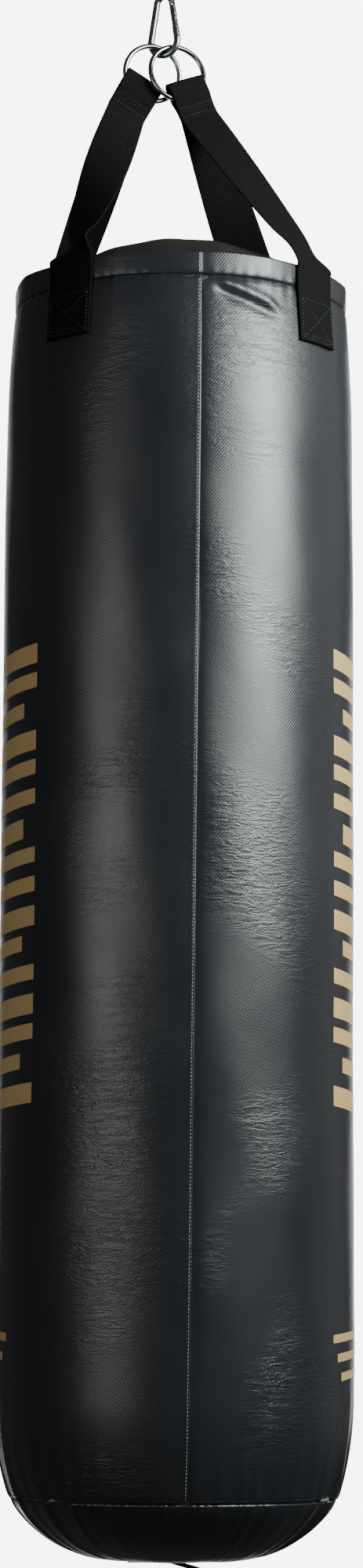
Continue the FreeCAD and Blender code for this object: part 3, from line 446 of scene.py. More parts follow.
def wall_radius(azimuth, drop):
    """The wall's outside radius with its folds, for arrays of azimuth and drop."""
    s = bag_sizes()
    looks = bag_looks()
    radius = base_radius(drop)
    middle = ease((drop - 0.06) / 0.1) * (1 - ease((drop - s.belly_drop + 0.08) / 0.1))
    waves = ripples(azimuth + 0.8 * drop, 3, 3, 9, 6) + ripples(azimuth - 2.3 * drop, 5, 5, 14, 6)
    radius = radius + 0.0004 * (waves + np.sin(11 * drop + 2 * azimuth)) * middle
    radius = radius + hem_facets(azimuth) * (1 - ease(drop / 0.07))
    # Ripples that the hem's stitches pull in.
    small = ripples(azimuth, 11, 40, 95, 9)
    radius = radius + looks.pucker_depth * (small - 0.6) * np.exp(-drop / 0.010)
    radius = radius - 0.0010 * np.exp(-(drop / 0.0035) ** 2)
    # The crease that runs down from the front seam to the right.
    along = (azimuth - math.radians(11.5)) / math.radians(23)
    line = 0.0085 + 0.0185 * along + 0.004 * along ** 2
    window = ease((along + 0.05) / 0.25) * (1 - ease((along - 0.75) / 0.35))
    off = drop - line
    width = 0.0028 + 0.0040 * window
    crease = 1.10 * bell(off + 0.0030, width) - 1.25 * bell(off - 0.0050, 1.1 * width)
    radius = radius + looks.crease_depth * crease * window
    # Folds gathered into the bottom seam.
    height = s.wall_height - drop
    fold = gathered_folds(azimuth + 0.02 * np.sin(height * 40))
    reach = 0.034 + 0.034 * (0.5 + 0.5 * ripples(azimuth, 29, 5, 15, 4))
    reach = np.maximum(reach, 0.014)
    fade = np.exp(-(height / reach) ** 1.6)
    radius = radius + looks.gather_depth * gather_strength(azimuth) * (fold - 0.55) * fade
    tuck = ripples(azimuth, 31, 70, 150, 9)
    radius = radius + 0.0005 * tuck * np.exp(-height / 0.006)
    radius = radius - 0.0012 * np.exp(-(height / 0.003) ** 2)
    # The lap seam: the left panel's folded edge stands proud of a groove, then the right panel rises.
    for turn in (0.0, math.pi):
        away = signed_turn(azimuth - seam_azimuth(drop) - turn)
        s_across = away * radius
        lip = 0.0003 * bell(s_across + 0.0020, 0.0030)
        groove = -0.0014 * np.exp(-np.where(s_across >= 0, s_across / 0.0040, -s_across / 0.0006))
        topstitch = -0.0003 * bell(s_across + TOPSTITCH_OFFSET, 0.0008)
        radius = radius + lip + groove + topstitch
    return radius


def on_wall(azimuth, drop, lift=0.0):
    """Points on the wall's outside."""
    s = bag_sizes()
    azimuth, drop = np.broadcast_arrays(np.asarray(azimuth, float), np.asarray(drop, float))
    return round_axis(azimuth, wall_radius(azimuth, drop) + lift, s.hem_z - drop)


def wall_drops():
    s = bag_sizes()
    top = np.arange(0.0, 0.066, 0.0016)
    middle = np.linspace(top[-1], s.belly_drop, 120)[1:]
    foot = np.linspace(s.belly_drop, s.wall_height - 0.0004, 62)[1:]
    return np.concatenate((top, middle, foot))


def panel_angles(count):
    """Shares of the way round a panel, closer together beside both seams."""
    edge = np.array([0.0, 0.0006, 0.0014, 0.0024, 0.0036, 0.005, 0.0066, 0.0086, 0.011, 0.014, 0.018,
                     0.023])
    inner = np.linspace(0.023, 0.977, count)[1:-1]
    return np.concatenate((edge, inner, 1 - edge[::-1]))


def make_wall_panel(side):
    """Half of the wall, from the front seam round to the back seam, with turned-in edges."""
    drops = wall_drops()
    shares = panel_angles(200)
    turn = math.pi * (1 if side == "right" else -1)
    azimuth = seam_azimuth(drops)[:, None] + shares[None, :] * turn
    drop = np.repeat(drops[:, None], len(shares), 1)
    points = on_wall(azimuth, drop)
    columns = len(shares)
    s = bag_sizes()
    inward = np.stack((-np.sin(azimuth), np.cos(azimuth), np.zeros_like(azimuth)), -1)
    first = points[:1] + inward[:1] * TURN_IN
    last = points[-1:] + inward[-1:] * TURN_IN
    points = np.concatenate((first, points, last), 0)
    inward = np.concatenate((inward[:1], inward, inward[-1:]), 0)
    left = points[:, :1] + inward[:, :1] * TURN_IN
    right = points[:, -1:] + inward[:, -1:] * TURN_IN
    points = np.concatenate((left, points, right), 1)
    s_along = np.concatenate((azimuth[:1], azimuth, azimuth[-1:]), 0) * s.wall_radius
    s_along = np.concatenate((s_along[:, :1], s_along, s_along[:, -1:]), 1)
    z_along = np.concatenate((drop[:1], drop, drop[-1:]), 0)
    z_along = -np.concatenate((z_along[:, :1], z_along, z_along[:, -1:]), 1)
    faces = grid_faces(points.shape[0], columns + 2)
    if side == "right":
        faces = [f[::-1] for f in faces]
    uvs = np.stack((s_along, z_along), -1).reshape(-1, 2)
    panel = mesh_object(side + "_wall_skin", points.reshape(-1, 3), faces, uvs)
    paint(panel, bpy.data.materials["Skin"])
    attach(panel, "bag")
    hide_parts(side + "_wall_panel")
    return panel


class BAG_OT_wall(bpy.types.Operator):
    """Builds both panels of the wall"""
    bl_idname = "bag.wall"
    bl_label = "Wall panels"

    def execute(self, context):
        for side in ("left", "right"):
            make_wall_panel(side)
        return {"FINISHED"}


def hem_rim(azimuth):
    """Height of the hem's top edge above the stitch line."""
    return bag_sizes().hem_height - 0.0011 + 0.0009 * ripples(azimuth, 41, 2, 9, 5)


class BAG_OT_hem(bpy.types.Operator):
    """Builds the folded hem band above the stitch line"""
    bl_idname = "bag.hem"
    bl_label = "Hem band"

    def execute(self, context):
        s = bag_sizes()
        azimuth = np.linspace(0, 2 * math.pi, 561)
        top = hem_rim(azimuth)
        thick = s.hem_thickness
        section = [(-0.0030, 0.0003), (-0.0008, 0.0004), (-0.0002, 0.0012)]
        section += [(0.0, h) for h in (0.0024, 0.005, 0.008, 0.0115, 0.015, 0.018)]
        rows = []
        for inset, height in section:
            rows.append((inset, height + 0 * top))
        for angle in np.radians((0, 22, 45, 68, 90, 112, 135, 158, 180)):
            rows.append((thick / 2 * (math.cos(angle) - 1), top - thick / 2 + thick / 2 * math.sin(angle)))
        for height in (0.018, 0.012, 0.006, 0.0004):
            rows.append((-thick, height + 0 * top))
        points = []
        facets = hem_facets(azimuth)
        small = ripples(azimuth, 11, 40, 95, 9)
        for inset, height in rows:
            near = np.exp(-height / 0.006)
            radius = s.hem_radius + inset + facets * (1 + 0.4 * height / s.hem_height)
            radius = radius + 0.0005 * (small - 0.6) * near - 0.0007 * np.exp(-(height / 0.003) ** 2)
            across = signed_turn(azimuth - s.seam_top_angle) * s.hem_radius
            radius = radius - 0.0010 * np.exp(-np.where(across >= 0, across / 0.0045, -across / 0.0005))
            points.append(round_axis(azimuth, radius, s.hem_z + height))
        points = np.array(points)
        faces = grid_faces(len(rows), len(azimuth))
        lengths = np.array([h.mean() for _, h in rows])
        lengths[12:] = lengths[12] + np.cumsum([0.0] + [0.002] * (len(rows) - 13))
        spread = np.repeat((azimuth * s.wall_radius)[None, :], len(rows), 0)
        uvs = np.stack((spread, np.repeat(lengths[:, None], len(azimuth), 1)), -1).reshape(-1, 2)
        hem = mesh_object("hem_skin", points.reshape(-1, 3), faces, uvs)
        recalculate(hem, 1e-6)
        paint(hem, bpy.data.materials["Skin"])
        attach(hem, "bag")
        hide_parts("hem_band")
        return {"FINISHED"}


class BAG_OT_bottom(bpy.types.Operator):
    """Builds the dished bottom with its gathers"""
    bl_idname = "bag.bottom"
    bl_label = "Bottom"

    def execute(self, context):
        s = bag_sizes()
        looks = bag_looks()
        azimuth = np.linspace(0, 2 * math.pi, 520, endpoint=False)
        run = s.seam_radius - s.flat_radius
        big = (run ** 2 + s.dish_depth ** 2) / (2 * s.dish_depth)
        radii = np.concatenate((s.seam_radius - np.linspace(0, 0.02, 14), np.linspace(
            s.seam_radius - 0.023, s.flat_radius, 34), np.linspace(s.flat_radius - 0.004, 0.002, 14)))
        rows = []
        lengths = []
        travelled = 0.0
        before = None
        for base in radii:
            away = max(base - s.flat_radius, 0.0)
            depth = s.dish_depth - (big - math.sqrt(big ** 2 - away ** 2))
            from_seam = s.seam_radius - base
            fold = gathered_folds(azimuth + 0.02 * math.sin(from_seam * 50))
            fade = math.exp(-(from_seam / 0.055) ** 1.5)
            lift = looks.gather_depth * gather_strength(azimuth) * (fold - 0.9) * fade * 0.9
            lift = lift + 0.0005 * ripples(azimuth, 31, 70, 150, 9) * math.exp(-from_seam / 0.006)
            lift = lift - 0.0014 * math.exp(-(from_seam / 0.003) ** 2)
            lift = lift - 0.0006 * (1 + ripples(azimuth, 37, 2, 7, 5)) * ease(from_seam / 0.04)
            slope = np.array((away, big - (s.dish_depth - depth)))
            slope = slope / np.hypot(*slope)
            radius = base + lift * slope[0]
            z = s.hem_z - s.wall_height - 0.0006 - depth - lift * slope[1] * min(1.0, from_seam / 0.01)
            shrink = 0.0 if base > 0.02 else 1.0 - base / 0.02
            z = z * (1 - shrink) + shrink * z.mean()
            rows.append(round_axis(azimuth, radius, z))
            if before is not None:
                travelled += math.hypot(base - before[0], depth - before[1])
            before = (base, depth)
            lengths.append(travelled)
        tuck = rows[0].copy()
        tuck[:, 0] -= 0.003 * np.sin(azimuth)
        tuck[:, 1] += 0.003 * np.cos(azimuth)
        tuck[:, 2] += 0.0004
        points = np.array([tuck] + rows)
        lengths = np.array([0.0] + lengths)
        faces = grid_faces(len(points), len(azimuth), closed=True)
        start = (len(points) - 1) * len(azimuth)
        faces.append(tuple(range(start, start + len(azimuth))))
        flat = points.reshape(-1, 3)
        uvs = flat[:, :2] * 1.08
        bottom = mesh_object("bottom_skin", flat, faces, uvs)
        recalculate(bottom)
        paint(bottom, bpy.data.materials["Skin"])
        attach(bottom, "bag")
        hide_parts("bottom_cover")
        return {"FINISHED"}


def recalculate(thing, distance=0.0):
    """Merges doubles if asked and turns every face outwards."""
    work = bmesh.new()
    work.from_mesh(thing.data)
    if distance:
        bmesh.ops.remove_doubles(work, verts=work.verts, dist=distance)
    bmesh.ops.recalc_face_normals(work, faces=work.faces)
    work.to_mesh(thing.data)
    work.free()
    return thing


# ---------------------------------------------------------------- webbing slings

RING_HANG = {
    "left": (Vector((-0.520, -0.026, -0.869)), 17.4, -1.0, 28.8, -1),
    "right": (Vector((0.594, -0.070, -0.860)), 20.8, 7.0, -22.7, 1),
}
RING_RADIUS = 0.029
RING_WIRE = 0.0052
HOOK_WIRE = 0.007
HOOK_LOWEST = -0.0595
RING_CLEARANCE = 0.0005
EYE_GAP = 0.0036  # from an eye's sewn end to the start of its legs
BAG_CLEARANCE = 0.0004
LEGS = {
    "front_left": ("left", -1, -40.0, -30.0),
    "back_left": ("left", 1, 232.0, 12.0),
    "front_right": ("right", -1, 52.0, 8.0),
    "back_right": ("right", 1, 147.0, 6.0),
}


def ring_matrix(side):
    """A ring's frame: +Z along its axis, +X along its sling's fold, -Y down the sling."""
    hang, turn, lean, tilt = RING_HANG[side][:4]
    centre = Vector((0, 0, HOOK_LOWEST)) + hang * (RING_RADIUS - (HOOK_WIRE + RING_WIRE) / 2)
    turned = Matrix.Rotation(math.radians(turn), 4, "Z") @ Matrix.Rotation(math.radians(90 - lean), 4, "X")
    return Matrix.Translation(centre) @ turned @ Matrix.Rotation(math.radians(-tilt), 4, "Z")


def sling_stations(side):
    """A sling's places from its front leg's end, over the ring, to its back leg's end.

    Each is (centre, across, outward, width, bow); outward faces away from the other ply.
    """
    s = bag_sizes()
    thick = s.webbing_thickness
    chord = s.webbing_chord
    width = s.webbing_width
    shift = 0.003 * RING_HANG[side][4]
    place = ring_matrix(side)
    turn = place.to_3x3()
    across = turn @ Vector((1, 0, 0))
    half = RING_WIRE / 2 + RING_CLEARANCE + thick / 2
    crossing = math.sqrt((RING_RADIUS - RING_WIRE / 2) ** 2 - (chord / 2 + 0.003) ** 2)
    fold = crossing + RING_WIRE / 2
    joined = RING_RADIUS + RING_WIRE / 2 + RING_CLEARANCE + 0.009
    end = joined + 0.006
    leg_start = end + EYE_GAP
    stand = BAG_CLEARANCE + thick / 2
    legs = []
    for ply in (-1, 1):
        name = next(n for n, leg in LEGS.items() if leg[0] == side and leg[1] == ply)
        angle = math.radians(LEGS[name][2])
        twist = Matrix.Rotation(math.radians(LEGS[name][3]), 3, "Z")
        facing = turn @ Vector((0, 0, -ply))
        start = place @ Vector((shift, -leg_start, -ply * (thick / 2 + 0.0002)))
        outward = Vector((math.sin(angle), -math.cos(angle), 0))
        tangent = Vector((math.cos(angle), math.sin(angle), 0))
        if tangent.dot(across) < 0:
            tangent = -tangent
        axis = Vector((s.axis_x, 0, s.hem_z))

        def on_bag(drop):
            radius = float(base_radius(max(drop, 0.0)))
            bow = radius - math.sqrt(radius ** 2 - (width / 2) ** 2)
            place_on_bag = axis + outward * (radius + stand - bow) - Vector((0, 0, drop))
            return place_on_bag, tangent, outward, width, bow

        rim = on_bag(-s.hem_height - 0.001)
        rim_centre = rim[0] + outward * 0.0006
        reach = rim_centre - start
        stations = []
        for share, bow_share in ((0.0, 0.0), (0.15, 0.01), (0.3, 0.02), (0.45, 0.035), (0.6, 0.05),
                                 (0.78, 0.03)):
            direction = across * (1 - share) + twist @ tangent * share
            out = facing * (1 - share) + twist @ outward * share
            wide = chord + (width - chord) * min(1.0, share / 0.8)
            stations.append((start + reach * share, direction, out, wide, 0.0003 + rim[4] * bow_share))
        over_rim = twist @ outward + Vector((0, 0, 0.35))
        stations.append((start + reach * 0.9, twist @ tangent, over_rim, width, 0.0006))
        stations.append((rim_centre, tangent, outward, width, rim[4]))
        for drop in (-0.75 * s.hem_height, -0.4 * s.hem_height, 0.0, 0.25 * s.leg_end_drop,
                     0.5 * s.leg_end_drop, 0.75 * s.leg_end_drop, s.leg_end_drop):
            stations.append(on_bag(drop))
        legs.append(stations)
    top = []
    for ply in (-1, 1):
        face = turn @ Vector((0, 0, -ply))
        for level, away in ((end, thick / 2 + 0.0002), (joined, thick / 2 + 0.0003),
                            ((joined + RING_RADIUS) / 2, 0.6 * half), (RING_RADIUS, half), (fold, half)):
            centre = place @ Vector((shift, -level, -ply * away))
            top.append((centre, across, face, chord, 0.0004))
    front_eye, back_eye = top[:5], top[5:]
    crown = []
    for angle in (45, 90, 135):
        radians = math.radians(angle)
        face = turn @ Vector((0, math.sin(radians), math.cos(radians)))
        centre = place @ Vector((shift, -fold + half * math.sin(radians), half * math.cos(radians)))
        crown.append((centre, across, face, chord, 0.0004))
    return legs[0][::-1] + front_eye + crown + back_eye[::-1] + legs[1]


def smooth_path(stations, step):
    """The stations joined by a smooth curve, cut into steps of about this length."""
    centres = np.array([list(s[0]) for s in stations])
    rows = np.array([list(s[0]) + list(Vector(s[1]).normalized()) + list(Vector(s[2]).normalized())
                     + [s[3], s[4]] for s in stations])
    gaps = np.linalg.norm(np.diff(centres, axis=0), axis=1)
    knots = np.concatenate(([0.0], np.cumsum(gaps)))
    out = []
    lengths = []
    for i in range(len(rows) - 1):
        p0 = rows[max(i - 1, 0)]
        p1 = rows[i]
        p2 = rows[i + 1]
        p3 = rows[min(i + 2, len(rows) - 1)]
        t0, t1, t2, t3 = knots[max(i - 1, 0)], knots[i], knots[i + 1], knots[min(i + 2, len(rows) - 1)]
        m1 = (p2 - p0) / max(t2 - t0, 1e-9) * (t2 - t1)
        m2 = (p3 - p1) / max(t3 - t1, 1e-9) * (t2 - t1)
        count = max(1, int(round(gaps[i] / step)))
        for k in range(count):
            t = k / count
            a = 2 * t ** 3 - 3 * t ** 2 + 1
            b = t ** 3 - 2 * t ** 2 + t
            c = -2 * t ** 3 + 3 * t ** 2
            d = t ** 3 - t ** 2
            out.append(a * p1 + b * m1 + c * p2 + d * m2)
            lengths.append(t1 + t * (t2 - t1))
    out.append(rows[-1])
    lengths.append(knots[-1])
    return np.array(out), np.array(lengths)


def band_point(row, u, lift):
    """A point of a band: u from -1 to 1 across it, and lift out from its middle layer."""
    centre, across, out = row[:3], row[3:6], row[6:9]
    across = across / np.linalg.norm(across)
    out = out - across * out.dot(across)
    out = out / np.linalg.norm(out)
    return centre + across * (u * row[9] / 2) + out * (lift + row[10] * (1 - u * u))


def band_mesh(name, rows, lengths, thickness):
    """A closed band with rounded selvedges along rows of stations."""
    us = [-1.0, -0.985, -0.94, -0.8, -0.6, -0.4, -0.2, 0.0, 0.2, 0.4, 0.6, 0.8, 0.94, 0.985, 1.0]
    half = thickness / 2
    ring = [(u, half * (0.35 if abs(u) == 1 else 0.8 if abs(u) > 0.98 else 1.0)) for u in us]
    ring += [(u, -lift) for u, lift in ring[::-1]]
    points = []
    uvs = []
    for row, along in zip(rows, lengths):
        for u, lift in ring:
            points.append(band_point(row, u, lift))
            uvs.append((u * row[9] / 2, along))
    count = len(ring)
    faces = grid_faces(len(rows), count, closed=True)
    faces.append(tuple(range(count)))
    faces.append(tuple(range((len(rows) - 1) * count, len(rows) * count)))
    band = mesh_object(name, points, faces, uvs, "webbing")
    return recalculate(band)


class BAG_OT_slings(bpy.types.Operator):
    """Builds both webbing slings, each one strip folded over its ring"""
    bl_idname = "bag.slings"
    bl_label = "Webbing slings"

    def execute(self, context):
        thickness = bag_sizes().webbing_thickness
        for side in ("left", "right"):
            rows, lengths = smooth_path(sling_stations(side), SLING_STEP)
            sling = band_mesh(side + "_sling", rows, lengths, thickness)
            paint(sling, bpy.data.materials["Webbing"])
            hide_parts(side + "_sling_eye", "front_%s_leg" % side, "back_%s_leg" % side)
            bend_with_swing(sling)
            print(side, "sling length", round(float(lengths[-1]), 4))
        return {"FINISHED"}


def bend_with_swing(thing):
    """Bakes the piece's placement into its mesh."""
    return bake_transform(thing)


# ---------------------------------------------------------------- stitches

def stitch_mesh(name, runs, radius):
    """One small capsule for each (start, end, outward) run, as one mesh."""
    points = []
    faces = []
    for start, end, out in runs:
        start, end, out = Vector(start), Vector(end), Vector(out).normalized()
        along = end - start
        side = along.cross(out)
        if side.length < 1e-9:
            continue
        side.normalize()
        base = len(points)
        rings = ((0.0, 0.35, -0.35), (0.2, 0.95, 0.25), (0.5, 1.0, 0.45), (0.8, 0.95, 0.25),
                 (1.0, 0.35, -0.35))
        for share, wide, lift in rings:
            middle = start + along * share + out * (lift * radius)
            for k in range(6):
                angle = k * math.pi / 3
                points.append(middle + (side * math.cos(angle) + out * math.sin(angle)) * (wide * radius))
        for r in range(4):
            for k in range(6):
                j = (k + 1) % 6
                low = base + r * 6
                faces.append((low + k, low + j, low + 6 + j, low + 6 + k))
        faces.append(tuple(base + k for k in range(5, -1, -1)))
        faces.append(tuple(base + 24 + k for k in range(6)))
    thing = mesh_object(name, points, faces)
    return recalculate(thing)


def runs_along(points, outs, pitch, fill=0.72):
    """Stitches of a pitch along a line of points, each covering this share of its pitch."""
    points = np.asarray(points, float)
    outs = np.asarray(outs, float)
    gaps = np.linalg.norm(np.diff(points, axis=0), axis=1)
    knots = np.concatenate(([0.0], np.cumsum(gaps)))
    count = max(1, int(knots[-1] / pitch))
    step = knots[-1] / count
    runs = []
    for i in range(count):
        a, b = (i + 0.5 - fill / 2) * step, (i + 0.5 + fill / 2) * step
        ends = [[np.interp(t, knots, points[:, k]) for k in range(3)] for t in (a, b)]
        out = [np.interp((a + b) / 2, knots, outs[:, k]) for k in range(3)]
        runs.append((ends[0], ends[1], out))
    return runs


def out_at(azimuth):
    azimuth = np.asarray(azimuth, float)
    return np.stack((np.sin(azimuth), -np.cos(azimuth), 0 * azimuth), -1)


class BAG_OT_stitches(bpy.types.Operator):
    """Sews the hem, the two wall seams, the bottom seam and the slings"""
    bl_idname = "bag.stitches"
    bl_label = "Stitches"

    def execute(self, context):
        s = bag_sizes()
        pitch = s.stitch_pitch
        azimuth = np.linspace(0, 2 * math.pi, 700)
        hem = on_wall(azimuth, 0.0006, STITCH_LIFT)
        seam_runs = runs_along(hem, out_at(azimuth), pitch)
        drops = np.linspace(0.004, s.wall_height - 0.004, 500)
        line_runs = []
        for turn in (0.0, math.pi):
            shift = TOPSTITCH_OFFSET / s.wall_radius
            line = seam_azimuth(drops) + turn - shift
            line_runs += runs_along(on_wall(line, drops, STITCH_LIFT), out_at(line), pitch)
            short = np.linspace(0.002, s.hem_height - 0.003, 20)
            angle = s.seam_top_angle + turn - shift + 0 * short
            radius = s.hem_radius + STITCH_LIFT + hem_facets(angle)
            band = round_axis(angle, radius, s.hem_z + short)
            line_runs += runs_along(band, out_at(angle), pitch)
        foot = on_wall(azimuth, s.wall_height - 0.0030, STITCH_LIFT)
        seam_runs += runs_along(foot, out_at(azimuth), pitch)
        seams = stitch_mesh("seam_stitches", seam_runs, SEAM_THREAD)
        paint(seams, bpy.data.materials["Dark thread"])
        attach(seams, "bag")
        lines = stitch_mesh("front_and_back_stitches", line_runs, LINE_THREAD)
        # The light grey of this thread is a painted highlight: the glint of dark thread along the lap
        # seams' folded edge.
        paint(lines, bpy.data.materials["Light thread"])
        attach(lines, "bag")
        leg_runs = []
        for side in ("left", "right"):
            rows, lengths = smooth_path(sling_stations(side), SLING_STEP)
            leg_runs += self.end_boxes(rows, lengths)
            eye = stitch_mesh(side + "_eye_stitches", self.eye_rows(side, rows), SEAM_THREAD)
            paint(eye, bpy.data.materials["Dark thread"])
            bend_with_swing(eye)
        boxes = stitch_mesh("leg_stitches", leg_runs, BOX_THREAD)
        paint(boxes, bpy.data.materials["Dark thread"])
        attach(boxes, "bag")
        return {"FINISHED"}

    def band_line(self, rows, lengths, start, end):
        """Points and directions on a band's outside from (u, length) to (u, length)."""
        lift = bag_sizes().webbing_thickness / 2
        points = []
        outs = []
        for t in np.linspace(0, 1, 24):
            u = start[0] + (end[0] - start[0]) * t
            along = start[1] + (end[1] - start[1]) * t
            row = np.array([np.interp(along, lengths, rows[:, k]) for k in range(rows.shape[1])])
            points.append(band_point(row, u, lift))
            out = row[6:9] - row[3:6] * row[6:9].dot(row[3:6])
            outs.append(out + row[3:6] * (u * 0.3))
        return points, outs

    def end_boxes(self, rows, lengths):
        """A box with a cross in it on both sewn ends of a sling."""
        s = bag_sizes()
        runs = []
        total = lengths[-1]
        for flip in (False, True):
            def at(u, v):
                return (u, total - v) if flip else (u, v)
            low, high = 0.0035, 0.0035 + 0.040
            wide = 0.86
            corners = [at(-wide, low), at(wide, low), at(wide, high), at(-wide, high)]
            lines = [(corners[i], corners[(i + 1) % 4]) for i in range(4)]
            lines += [(corners[0], corners[2]), (corners[1], corners[3])]
            lines += [(at(-wide, low + 0.0035), at(wide, low + 0.0035))]
            for start, end in lines:
                points, outs = self.band_line(rows, lengths, start, end)
                runs += runs_along(points, outs, s.stitch_pitch)
        return runs

    def eye_rows(self, side, rows):
        """Rows of stitches across a sling's sewn eye, on both plies."""
        s = bag_sizes()
        place = ring_matrix(side)
        runs = []
        lift = s.webbing_thickness / 2
        local = [place.inverted() @ Vector(row[:3]) for row in rows]
        for level in (0.0385, 0.0465):
            for sign in (1, -1):
                on_ply = [i for i in range(len(rows)) if local[i].z * sign > 0]
                row = rows[min(on_ply, key=lambda i: abs(local[i].y + level))]
                points = [band_point(row, u, lift) for u in np.linspace(-0.9, 0.9, 20)]
                outs = [row[6:9] for _ in points]
                runs += runs_along(points, outs, s.stitch_pitch)
        return runs


# ---------------------------------------------------------------- top cover and zip

def dome_centre_radius():
    s = bag_sizes()
    edge = s.hem_radius - s.hem_thickness - 0.0002
    rise = s.dome_rise - 0.004
    radius = (edge ** 2 + rise ** 2) / (2 * rise)
    return Vector((s.axis_x, 0, s.hem_z + s.dome_rise - radius)), radius


class BAG_OT_top_cover(bpy.types.Operator):
    """Builds both halves of the crowned top cover"""
    bl_idname = "bag.top_cover"
    bl_label = "Top cover"

    def execute(self, context):
        centre, radius = dome_centre_radius()
        s = bag_sizes()
        edge = s.hem_radius - s.hem_thickness - 0.0006
        for name, way in (("front", -1), ("back", 1)):
            columns = 150
            rows = 60
            points = []
            uvs = []
            for r in range(rows):
                share = r / (rows - 1)
                for c in range(columns):
                    x = -edge * 0.9995 + 2 * edge * 0.9995 * c / (columns - 1)
                    far = math.sqrt(max(edge ** 2 - x ** 2, 0.0))
                    near = min(0.003, far)
                    y = near + (far - near) * share ** 0.9
                    out = math.sqrt(max(radius ** 2 - x * x - y * y, 0.0))
                    azimuth = math.atan2(x, y)
                    from_edge = edge - math.hypot(x, y)
                    # Gathers at the hem, then slow waves and the hollow beside the zip.
                    gathers = 0.6 + math.sin(31 * azimuth) + 0.6 * math.sin(53 * azimuth + 1)
                    waves = 0.0006 * (1 + math.sin(19 * x * 6.28 + 7 * y))
                    hollow = 0.0010 * math.exp(-((y - 0.009) / 0.005) ** 2)
                    dip = 0.0012 * math.exp(-from_edge / 0.02) * gathers
                    dip += waves + hollow
                    points.append((centre.x + x, way * y, centre.z + out - max(dip, 0.0)))
                    uvs.append((x, way * y))
            faces = grid_faces(rows, columns)
            cover = mesh_object("top_cover_skin_" + name, points, faces, uvs)
            recalculate(cover, 1e-6)
            thick = cover.modifiers.new("Thickness", "SOLIDIFY")
            thick.thickness = 0.0014
            thick.offset = -1
            paint(cover, bpy.data.materials["Cover"])
            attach(cover, "bag")
            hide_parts("top_cover_" + name)
        return {"FINISHED"}


class BAG_OT_zip(bpy.types.Operator):
    """Builds the zip's teeth and finishes its metal pieces"""
    bl_idname = "bag.zip"
    bl_label = "Zip"

    def execute(self, context):
        centre, radius = dome_centre_radius()
        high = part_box("zip_teeth")[1]
        work = bmesh.new()
        level = radius - 0.0022
        span = math.asin((high.x - centre.x - 0.001) / radius)
        count = int(2 * span * radius / 0.0020)
        for i in range(count):
            angle = -span + 2 * span * (i + 0.5) / count
            way = 1 if i % 2 else -1
            turn = Matrix.Translation(centre) @ Matrix.Rotation(angle, 4, "Y")
            size = Matrix.Diagonal((0.0013, 0.0025, 0.0018, 1))
            place = turn @ Matrix.Translation((0, way * 0.00085, level)) @ size
            bmesh.ops.create_cube(work, size=1.0, matrix=place)
        bmesh.ops.bevel(work, geom=list(work.edges), offset=0.0003, segments=1, profile=0.5,
                        affect="EDGES", material=-1)
        mesh = bpy.data.meshes.new("zip_teeth_row")
        work.to_mesh(mesh)
        work.free()
        teeth = bpy.data.objects.new("zip_teeth_row", mesh)
        bpy.context.scene.collection.objects.link(teeth)
        paint(teeth, bpy.data.materials["Zip plastic"])
        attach(teeth, "bag")
        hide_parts("zip_teeth")
        for node in ("zip_slider", "zip_pull"):
            paint(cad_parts[node], bpy.data.materials["Black enamel"])
        paint(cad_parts["zip_end_stops"], bpy.data.materials["Zip plastic"])
        for node in ("zip_tape_front", "zip_tape_back"):
            paint(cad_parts[node], bpy.data.materials["Tape"])
        return {"FINISHED"}


# ---------------------------------------------------------------- bottom loop, prints, hardware

class BAG_OT_bottom_loop(bpy.types.Operator):
    """Builds the folded strip of webbing under the bag and its sewn base"""
    bl_idname = "bag.bottom_loop"
    bl_label = "Bottom loop"

    def execute(self, context):
        low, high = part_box("bottom_loop")
        base_low, base_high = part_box("bottom_loop_base")
        width = high.y - low.y
        root = Vector((0.0145, 0, -1.5791))
        dip = math.radians(15)
        along = Vector((math.cos(dip), 0, -math.sin(dip)))
        out = Vector((math.sin(dip), 0, math.cos(dip)))
        across = Vector((0, 1, 0))
        path = []
        length = 0.034
        for x, z in ((0.0006, 0.0007), (0.008, 0.0008), (0.017, 0.0009), (0.026, 0.0009), (0.0316, 0.0007)):
            path.append((root + along * x + out * z, across, out, width - 0.001, 0.0))
        path.append((root + along * (length - 0.0008), across, along, width - 0.001, 0.0))
        for x, z in ((0.0316, 0.0007), (0.026, 0.0009), (0.017, 0.0009), (0.008, 0.0008), (0.0006, 0.0007)):
            path.append((root + along * x - out * z, across, -out, width - 0.001, 0.0))
        rows, lengths = smooth_path(path, 0.0012)
        loop = band_mesh("bottom_loop_strip", rows, lengths, 0.0011)
        paint(loop, bpy.data.materials["Webbing"])
        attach(loop, "bottom_loop")
        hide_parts("bottom_loop")
        middle = (base_low + base_high) / 2
        path = [(Vector((x, 0, middle.z)), across, Vector((0, 0, -1)), width - 0.001, 0.0)
                for x in np.linspace(base_low.x + 0.0005, base_high.x - 0.0005, 8)]
        rows, lengths = smooth_path(path, 0.002)
        base = band_mesh("bottom_loop_patch", rows, lengths, 0.0024)
        paint(base, bpy.data.materials["Webbing"])
        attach(base, "bag")
        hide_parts("bottom_loop_base")
        return {"FINISHED"}


